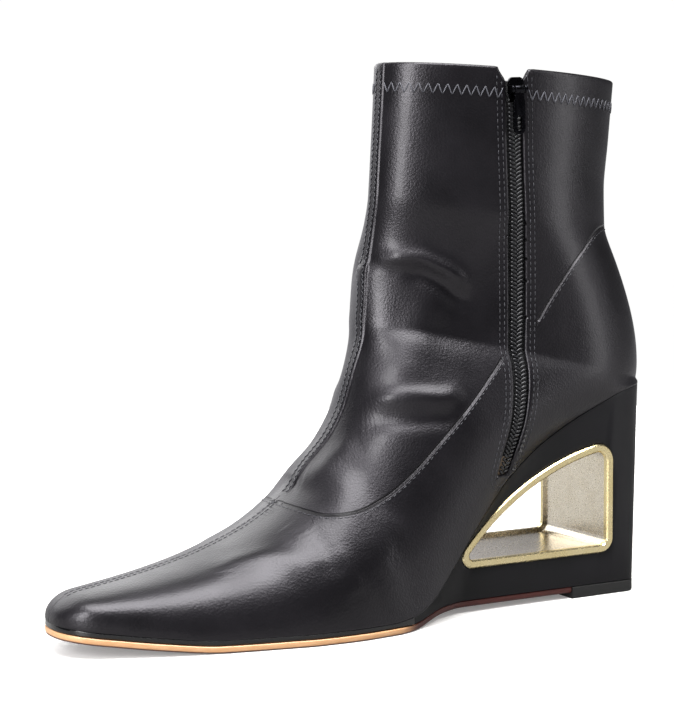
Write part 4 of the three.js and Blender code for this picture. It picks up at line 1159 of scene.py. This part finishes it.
def make_wedge():
    """The wrapped wedge from the sole to the feather line, with the window cut through it."""
    shares = places(0, 1, 90, round_start=0.16)

    def level(rise):
        def points(share, side):
            foot_x, top_x = mix(WEDGE_FOOT_BACK, WEDGE_TIP, share), mix(SEAT_BACK, WEDGE_TIP, share)
            foot_z = np.where(foot_x > TOP_PIECE_LENGTH / 2, sole_bottom(foot_x) + OUTSOLE, TOP_PIECE) + GAP
            # Straight up round the back; further on upright at first, and flaring out under the foot
            flare = rise ** np.where(share < 0.2, 1, 6)
            wide = mix(foot_edge(foot_x, side), feather_edge(top_x, side), flare)
            return np.stack([mix(foot_x, top_x, rise), side * wide,
                             mix(foot_z, feather_z(top_x) - GAP, rise)], -1)
        return points

    rises = [0, 0.2, 0.4, 0.55, 0.65, 0.72, 0.78, 0.83, 0.88, 0.92, 0.95, 0.98, 1]
    wedge = slab("wedge_wrap", shares, [level(rise) for rise in rises], COVER)
    outline = window_outline(-GAP)
    count = len(outline)
    rings = np.concatenate([at_depth(outline, -WEDGE_WIDTH), at_depth(outline, WEDGE_WIDTH)])
    walls = [[i, (i + 1) % count, count + (i + 1) % count, count + i] for i in range(count)]
    caps = [list(range(count)), list(range(count, 2 * count))]
    cutter = closed_piece("window_cutter", rings, [*walls, *caps], COVER)
    cut = wedge.modifiers.new("window", "BOOLEAN")
    cut.operation = "DIFFERENCE"
    cut.solver = "EXACT"
    cut.object = cutter
    soften(wedge, 0.5, 2, 50)
    bpy.data.objects.remove(cutter)
    finish_piece(wedge, "boot", "wedge_cover", "wedge")


def make_window_frame():
    """The gold rims on both faces of the wedge, in one piece with the champagne lining between them."""
    face = WEDGE_WIDTH / 2 + RIM_PROUD
    behind = face - RIM_DEPTH
    soft = 0.5
    profile = [(0, -face + soft), (soft, -face), (RIM_WIDTH - soft, -face), (RIM_WIDTH, -face + soft),
               (RIM_WIDTH, -behind), (FRAME_WALL, -behind), (FRAME_WALL, behind), (RIM_WIDTH, behind),
               (RIM_WIDTH, face - soft), (RIM_WIDTH - soft, face), (soft, face), (0, face - soft)]
    rings = np.stack([at_depth(window_outline(inset), y) for inset, y in profile], 1)
    index = np.arange(rings.shape[0] * rings.shape[1]).reshape(rings.shape[:2])
    index = np.concatenate([index, index[:1]])
    index = np.concatenate([index, index[:, :1]], 1)
    frame_piece = closed_piece("window_rim", rings, grid_quads(index).tolist(), GOLD)
    frame_piece.data.materials.append(CHAMPAGNE)
    for polygon in frame_piece.data.polygons:
        depths = [abs(frame_piece.data.vertices[v].co.y) / MM for v in polygon.vertices]
        polygon.material_index = 1 if max(depths) < behind + 0.01 else 0
    frame_piece.data.set_sharp_from_angle(angle=math.radians(40))
    finish_piece(frame_piece, "boot", "gold_frame", "window_frame")


# Rows of bars: stitches, and the teeth of the zip

def bar_tree():
    """Sets a rounded bar at each point, along and up by the point's own directions."""
    tree = bpy.data.node_groups.new("rows of bars", "GeometryNodeTree")
    sockets = tree.interface
    sockets.new_socket("Geometry", in_out="INPUT", socket_type="NodeSocketGeometry")
    for name in ("Length", "Width", "Height", "Unevenness"):
        sockets.new_socket(name, in_out="INPUT", socket_type="NodeSocketFloat")
    sockets.new_socket("Seed", in_out="INPUT", socket_type="NodeSocketInt")
    sockets.new_socket("Material", in_out="INPUT", socket_type="NodeSocketMaterial")
    sockets.new_socket("Geometry", in_out="OUTPUT", socket_type="NodeSocketGeometry")
    given = add(tree, "NodeGroupInput").outputs
    bar = add(tree, "GeometryNodeMeshUVSphere", {"Segments": 8, "Rings": 5, "Radius": 0.5})
    size = add(tree, "ShaderNodeCombineXYZ", {},
               {"X": given["Length"], "Y": given["Width"], "Z": given["Height"]})
    shaped = add(tree, "GeometryNodeTransform", {},
                 {"Geometry": bar.outputs["Mesh"], "Scale": size.outputs[0]})
    up = add(tree, "GeometryNodeInputNamedAttribute", {"Name": "up"}, data_type="FLOAT_VECTOR")
    along = add(tree, "GeometryNodeInputNamedAttribute", {"Name": "along"}, data_type="FLOAT_VECTOR")
    turned = add(tree, "FunctionNodeAxesToRotation", {}, {0: up.outputs[0], 1: along.outputs[0]},
                 primary_axis="Z", secondary_axis="X")
    least = add(tree, "ShaderNodeMath", {0: 1.0}, {1: given["Unevenness"]}, operation="SUBTRACT")
    uneven = add(tree, "FunctionNodeRandomValue", {3: 1.0}, {2: least.outputs[0], "Seed": given["Seed"]})
    bars = add(tree, "GeometryNodeInstanceOnPoints", {}, {
        "Points": given["Geometry"], "Instance": shaped.outputs["Geometry"], "Rotation": turned.outputs[0],
        "Scale": uneven.outputs[1]})
    real = add(tree, "GeometryNodeRealizeInstances", {}, {"Geometry": bars.outputs["Instances"]})
    coated = add(tree, "GeometryNodeSetMaterial", {}, {"Geometry": real.outputs["Geometry"],
                                                       "Material": given["Material"]})
    smooth_shaded = add(tree, "GeometryNodeSetShadeSmooth", {}, {"Geometry": coated.outputs["Geometry"]})
    add(tree, "NodeGroupOutput", {}, {"Geometry": smooth_shaded.outputs["Geometry"]})
    return tree


BARS = bar_tree()


def bars(name, rows, length, width, height, material, unevenness=0.0, seed=1):
    """A piece of bars at the places of the rows, each row with its places, ways along and ways up."""
    spots, along, up = (np.concatenate([row[k] for row in rows]) for k in range(3))
    mesh = bpy.data.meshes.new(name)
    mesh.from_pydata((spots * MM).tolist(), [], [])
    for label, vectors in (("along", along), ("up", up)):
        mesh.attributes.new(label, "FLOAT_VECTOR", "POINT").data.foreach_set("vector", vectors.ravel())
    piece = bpy.data.objects.new(name, mesh)
    bpy.context.scene.collection.objects.link(piece)
    values = {"Length": length * MM, "Width": width * MM, "Height": height * MM, "Unevenness": unevenness,
              "Seed": seed, "Material": material}
    row_of_bars = piece.modifiers.new("bars", "NODES")
    row_of_bars.node_group = BARS
    for item in BARS.interface.items_tree:
        if item.in_out == "INPUT" and item.name in values:
            row_of_bars[item.identifier] = values[item.name]
    plain_mesh(piece)
    return piece


def evenly(line, pitch):
    """Points of a line at an even pitch."""
    reached = lengths_along(line)
    wanted = np.arange(pitch / 2, reached[-1], pitch)
    return np.stack([np.interp(wanted, reached, line[:, k]) for k in range(3)], -1)


def laid_on(tree, points, lift, turn=0.0):
    """Places on a surface next to the points, with the ways along and up for bars turned by an angle."""
    found = [tree.find_nearest(Vector(point) * MM) for point in points]
    spots = np.array([hit[0] for hit in found]) / MM
    up = np.array([hit[1] for hit in found])
    along = np.gradient(spots, axis=0)
    along = unit(along - (along * up).sum(-1, keepdims=True) * up)
    turn = np.broadcast_to(turn, len(spots))[:, None]
    along = along * np.cos(turn) + np.cross(up, along) * np.sin(turn)
    return spots + up * lift, along, up


def crest_line(start, end, aside=0.0):
    """A line along the front of the upper, a distance to one side of its crest."""
    rows = np.linspace(start, end, 240)
    side = MEDIAL if aside >= 0 else LATERAL
    points = half_sections(rows, side, steps=64)
    return resample(points, np.full((len(rows), 1), abs(aside)))[:, 0]


def sew(name, rows, size, thread, unevenness, seed):
    """A piece of stitches on the leather; size is the length, width and height of one stitch."""
    finish_piece(bars(name, rows, *size, thread, unevenness, seed), "boot", "upper_leather")


def sew_front_tape(surface):
    """Slanted stitches along both edges of the tape, turned to and fro."""
    from_crest, pitch, lift = 1.35, 1.05, 0.10
    slant = math.radians(38)
    rows = []
    for aside in (-from_crest, from_crest):
        points = evenly(crest_line(TAPE_FOOT_ROW + 0.15, LAST_ROW - 0.1, aside), pitch)
        swing = np.where(np.arange(len(points)) % 2, slant, -slant)
        rows.append(laid_on(surface, points, lift, swing))
    sew("front_tape_stitches", rows, (1.9, 0.42, 0.36), THREAD, 0.12, 3)


def sew_seams(surface):
    """A row on each side of the vamp's front seam, and one along the panel seams."""
    from_front, front_pitch = 1.3, 2.3
    first_row, last_row = 0.35, 5.4
    from_seam, seam_pitch, lift = 1.35, 2.4, 0.06
    rows = [laid_on(surface, evenly(crest_line(first_row, last_row, aside), front_pitch), lift)
            for aside in (-from_front, from_front)]
    for seam, side in SEAMS:
        line = on_upper(seam, side)
        ahead = unit(np.gradient(line, axis=0))
        _, _, up = laid_on(surface, line, 0)
        shifted = line + np.cross(up, ahead) * from_seam
        rows.append(laid_on(surface, evenly(shifted, seam_pitch), lift))
    sew("seam_stitches", rows, (1.8, 0.36, 0.3), THREAD, 0.1, 5)


def sew_zip(surface):
    """Two rows round the zip's slot, down one side, round its foot and up the other."""
    pitch, lift, below_collar, over_feather = 2.2, 0.06, 2.5, 1.5
    shares = np.linspace(0.0, 1 - below_collar / ZIP_HEIGHT, 200)
    turn = np.linspace(0, math.pi, 24)
    rows = []
    for aside in (5.2, 7.0):
        foot = beside_zip(-np.sin(turn) * (aside - 1) / ZIP_HEIGHT, aside * np.cos(turn))
        seen = np.concatenate([beside_zip(shares[::-1], aside), foot, beside_zip(shares, -aside)])
        seen[:, 1] = np.maximum(seen[:, 1], feather_z(seen[:, 0]) + over_feather)
        line = np.stack([seen[:, 0], side_y(seen[:, 0], seen[:, 1]), seen[:, 1]], -1)
        rows.append(laid_on(surface, evenly(line, pitch), lift))
    sew("zip_stitches", rows, (1.7, 0.4, 0.34), THREAD, 0.1, 7)


def sew_zigzag(surface):
    """The zigzag round the collar, open at the zip and at the front tape."""
    low, high, step, lift = 10.4, 6.4, 1.7, 0.12
    between_rows = 19.3
    by_tape, by_zip = 0.6, 1.5
    lines = []
    for below_collar in (low, high):
        row = np.array([LAST_ROW - below_collar / between_rows])
        outer, inner = (half_sections(row, side)[0] for side in (LATERAL, MEDIAL))
        lines.append(np.concatenate([outer[::-1], inner[1:]]))
    count = int(lengths_along(lines[0])[-1] / step)
    even = [resample(line[None], np.linspace(0, lengths_along(line)[-1], count)[None])[0] for line in lines]
    corners = np.where((np.arange(count) % 2)[:, None], even[0], even[1])
    middles = (corners[1:] + corners[:-1]) / 2
    spots, _, up = laid_on(surface, middles, lift)
    ahead = corners[1:] - corners[:-1]
    ahead = unit(ahead - (ahead * up).sum(-1, keepdims=True) * up)
    off, _ = off_slot(middles[:, 0], middles[:, 2])
    front_x = crest_line(LAST_ROW - 0.5, LAST_ROW - 0.4)[0, 0]
    off_tape = np.abs(middles[:, 0] - front_x) > by_tape
    off_zip = (off >= by_zip) | (middles[:, 1] <= 0)
    free = off_tape & off_zip
    sew("collar_zigzag", [(spots[free], ahead[free], up[free])], (4.5, 0.5, 0.42), THREAD_PAINTED_GREY_FOR_GLINTS, 0.04, 9)


def make_stitches(upper):
    """All the stitches, laid on the finished leather."""
    surface = bvhtree.BVHTree.FromObject(upper, bpy.context.evaluated_depsgraph_get())
    sew_front_tape(surface)
    sew_seams(surface)
    sew_zip(surface)
    sew_zigzag(surface)


# The zip

def zip_surface(share, aside, sink):
    """Points by the zip's line sunk below the leather, with the ways along it and out of it."""
    seen = beside_zip(share, aside)
    x, z, reach = seen[..., 0], seen[..., 1], 0.5
    slope_x = (side_y(x + reach, z) - side_y(x - reach, z)) / (2 * reach)
    slope_z = (side_y(x, z + reach) - side_y(x, z - reach)) / (2 * reach)
    out = unit(np.stack([-slope_x, np.ones_like(slope_x), -slope_z], -1))
    point = np.stack([x, side_y(x, z), z], -1) - out * sink
    ahead = beside_zip(np.asarray(share) + 0.01, aside) - beside_zip(np.asarray(share) - 0.01, aside)
    ahead = np.stack([ahead[..., 0], np.zeros_like(x), ahead[..., 1]], -1)
    return point, unit(ahead - (ahead * out).sum(-1, keepdims=True) * out), out


def make_teeth():
    """Two rows of slanted turns of the coil, half a turn apart, which meet in a herringbone."""
    pitch, from_middle, sunk = 1.45, 1.15, COIL_SINK + 0.15
    first, last = 0.8, ZIP_TOP * ZIP_HEIGHT - 1
    slant = math.radians(62)
    rows = []
    for aside, turn, ahead_by in ((-from_middle, slant, 0), (from_middle, -slant, pitch / 2)):
        shares = np.arange(first + ahead_by, last, pitch) / ZIP_HEIGHT
        point, ahead, out = zip_surface(shares, aside, sunk)
        along = ahead * math.cos(turn) + np.cross(out, ahead) * math.sin(turn)
        rows.append((point, along, out))
    finish_piece(bars("zip_teeth", rows, 3.3, 1.05, 1.1, COIL), "boot", "zip_coil_plastic", "zip_coil")


def make_zip():
    """Teeth, tape, slider and pull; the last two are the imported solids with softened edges."""
    make_teeth()
    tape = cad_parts["zip_tape"].data
    tape.materials.clear()
    tape.materials.append(TAPE)
    for node, body in (("zip_slider", "boot"), ("zip_pull", "pull")):
        shell = bmesh.new()
        shell.from_mesh(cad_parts[node].data)
        bmesh.ops.remove_doubles(shell, verts=shell.verts, dist=CLOSED_MERGE * MM)
        cast = piece_from(node + "_cast", shell, ENAMEL)
        soften(cast, 0.14, 3, 35)
        finish_piece(cast, body, "zip_metal", node)


# The room

def make_floor():
    """A round sheet of white paper under the boot, with its sizes in metres."""
    radius, corners = 0.6, 96
    angles = [math.tau * k / corners for k in range(corners)]
    rim = [(radius * math.cos(angle), radius * math.sin(angle), 0) for angle in angles]
    floor = bpy.data.meshes.new("floor")
    floor.from_pydata(rim, [], [list(range(corners))])
    # White paper that glows: painted light, faint near the boot and full at its edge, where it runs out into
    # the white of the room. To all but the camera it is darker and glows less, so the boot mirrors less of it
    # than the camera sees: painted shade in its reflections.
    paper, tree, place = new_material("white paper")
    away = add(tree, "ShaderNodeVectorMath", {}, {0: place}, operation="LENGTH")
    painted_glow = add(tree, "ShaderNodeMapRange", {"From Min": 0.16, "From Max": 0.5, "To Min": 0.22, "To Max": 1.0},
              {"Value": away.outputs["Value"]}, interpolation_type="SMOOTHSTEP")
    seen = add(tree, "ShaderNodeLightPath").outputs["Is Camera Ray"]
    share = add(tree, "ShaderNodeMapRange", {"To Min": 0.4}, {"Value": seen})
    tone = add(tree, "ShaderNodeMix", {6: linear("#7C7B7A"), 7: linear("#EFEEEC")}, {0: seen},
               data_type="RGBA")
    painted_glow_strength = add(tree, "ShaderNodeMath", {}, {0: painted_glow.outputs["Result"], 1: share.outputs["Result"]},
               operation="MULTIPLY")
    shader = add(tree, "ShaderNodeBsdfPrincipled",
                 {"Roughness": 0.5, "Emission Color": linear("#FEFDFC")},
                 {"Base Color": tone.outputs[2], "Emission Strength": painted_glow_strength.outputs[0]})
    add(tree, "ShaderNodeOutputMaterial", {}, {"Surface": shader.outputs["BSDF"]})
    floor.materials.append(paper)
    ground = bpy.data.objects.new("floor", floor)
    bpy.context.scene.collection.objects.link(ground)


def make_studio():
    """The white round about: bright to the eye, and graded for what the boot mirrors."""
    bpy.context.scene.view_settings.view_transform = "Standard"
    world = bpy.data.worlds.new("studio")
    bpy.context.scene.world = world
    world.use_nodes = True
    tree = world.node_tree
    tree.nodes.clear()
    seen = add(tree, "ShaderNodeLightPath").outputs["Is Camera Ray"]
    backdrop = add(tree, "ShaderNodeBackground", {"Color": linear("#FFFFFE"), "Strength": 1.02})
    # The white of the floor runs on below the horizon and darkens softly above it. Behind the boot
    # it climbs a wall, and it is dimmer on the inner side, where the room stands open
    way = add(tree, "ShaderNodeSeparateXYZ", {},
              {"Vector": add(tree, "ShaderNodeTexCoord").outputs["Generated"]})
    wall = add(tree, "ShaderNodeMapRange",
               {"From Min": -0.95, "From Max": -0.55, "To Min": -0.42, "To Max": 0.0},
               {"Value": way.outputs["Y"]}, interpolation_type="SMOOTHSTEP")
    height = add(tree, "ShaderNodeMath", {}, {0: way.outputs["Z"], 1: wall.outputs["Result"]},
                 operation="ADD")
    glow = add(tree, "ShaderNodeMapRange",
               {"From Min": -0.32, "From Max": 0.12, "To Min": 0.95, "To Max": 0.07},
               {"Value": height.outputs[0]}, interpolation_type="SMOOTHSTEP")
    open_side = add(tree, "ShaderNodeMapRange",
                    {"From Min": -0.5, "From Max": 0.3, "To Min": 1.0, "To Max": 0.5},
                    {"Value": way.outputs["Y"]}, interpolation_type="SMOOTHSTEP")
    strength = add(tree, "ShaderNodeMath", {}, {0: glow.outputs["Result"], 1: open_side.outputs["Result"]},
                   operation="MULTIPLY")
    room = add(tree, "ShaderNodeBackground", {"Color": linear("#F1F0F5")}, {"Strength": strength.outputs[0]})
    either = add(tree, "ShaderNodeMixShader", {}, {0: seen, 1: room.outputs[0], 2: backdrop.outputs[0]})
    add(tree, "ShaderNodeOutputWorld", {}, {"Surface": either.outputs[0]})


def make_lights():
    """Soft boxes, each turned to the middle of the boot."""
    # Name, place and size in metres, and power in watts
    boxes = [
        ("overhead", (0.15, 0.25, 1.25), (1.1, 0.9), 42),
        ("toe side", (1.25, 0.60, 0.60), (0.40, 1.1), 24),
        ("heel side", (-0.95, 0.65, 0.45), (0.30, 1.0), 4),
        ("outer side", (0.2, -1.1, 0.7), (1.2, 0.8), 8),
    ]
    middle = Vector((0.09, 0, 0.09))
    for name, place, (width, height), power in boxes:
        light = bpy.data.lights.new(name, "AREA")
        light.shape = "RECTANGLE"
        light.size = width
        light.size_y = height
        light.energy = power
        lamp = bpy.data.objects.new(name, light)
        lamp.location = place
        lamp.rotation_euler = (middle - Vector(place)).to_track_quat("-Z", "Y").to_euler()
        bpy.context.scene.collection.objects.link(lamp)


def make_camera():
    """The photo's own point of view, turned to the middle of this boot."""
    camera = bpy.data.cameras.new("camera")
    camera.sensor_width = 36
    camera.lens = 94
    eye = bpy.data.objects.new("camera", camera)
    eye.location = Vector((426.7, 588.45, 155.43)) * MM
    target = Vector((105.0, 0, 93.0)) * MM
    roll = Matrix.Rotation(math.radians(-0.41), 3, "Z").to_quaternion()
    eye.rotation_euler = ((target - eye.location).to_track_quat("-Z", "Y") @ roll).to_euler()
    bpy.context.scene.collection.objects.link(eye)
    bpy.context.scene.camera = eye


make_camera()
make_floor()
make_studio()
make_lights()
make_stitches(make_upper())
make_lining()
make_outsole()
make_rand()
make_heel_lift()
make_sock()
make_wedge()
make_window_frame()
make_zip()
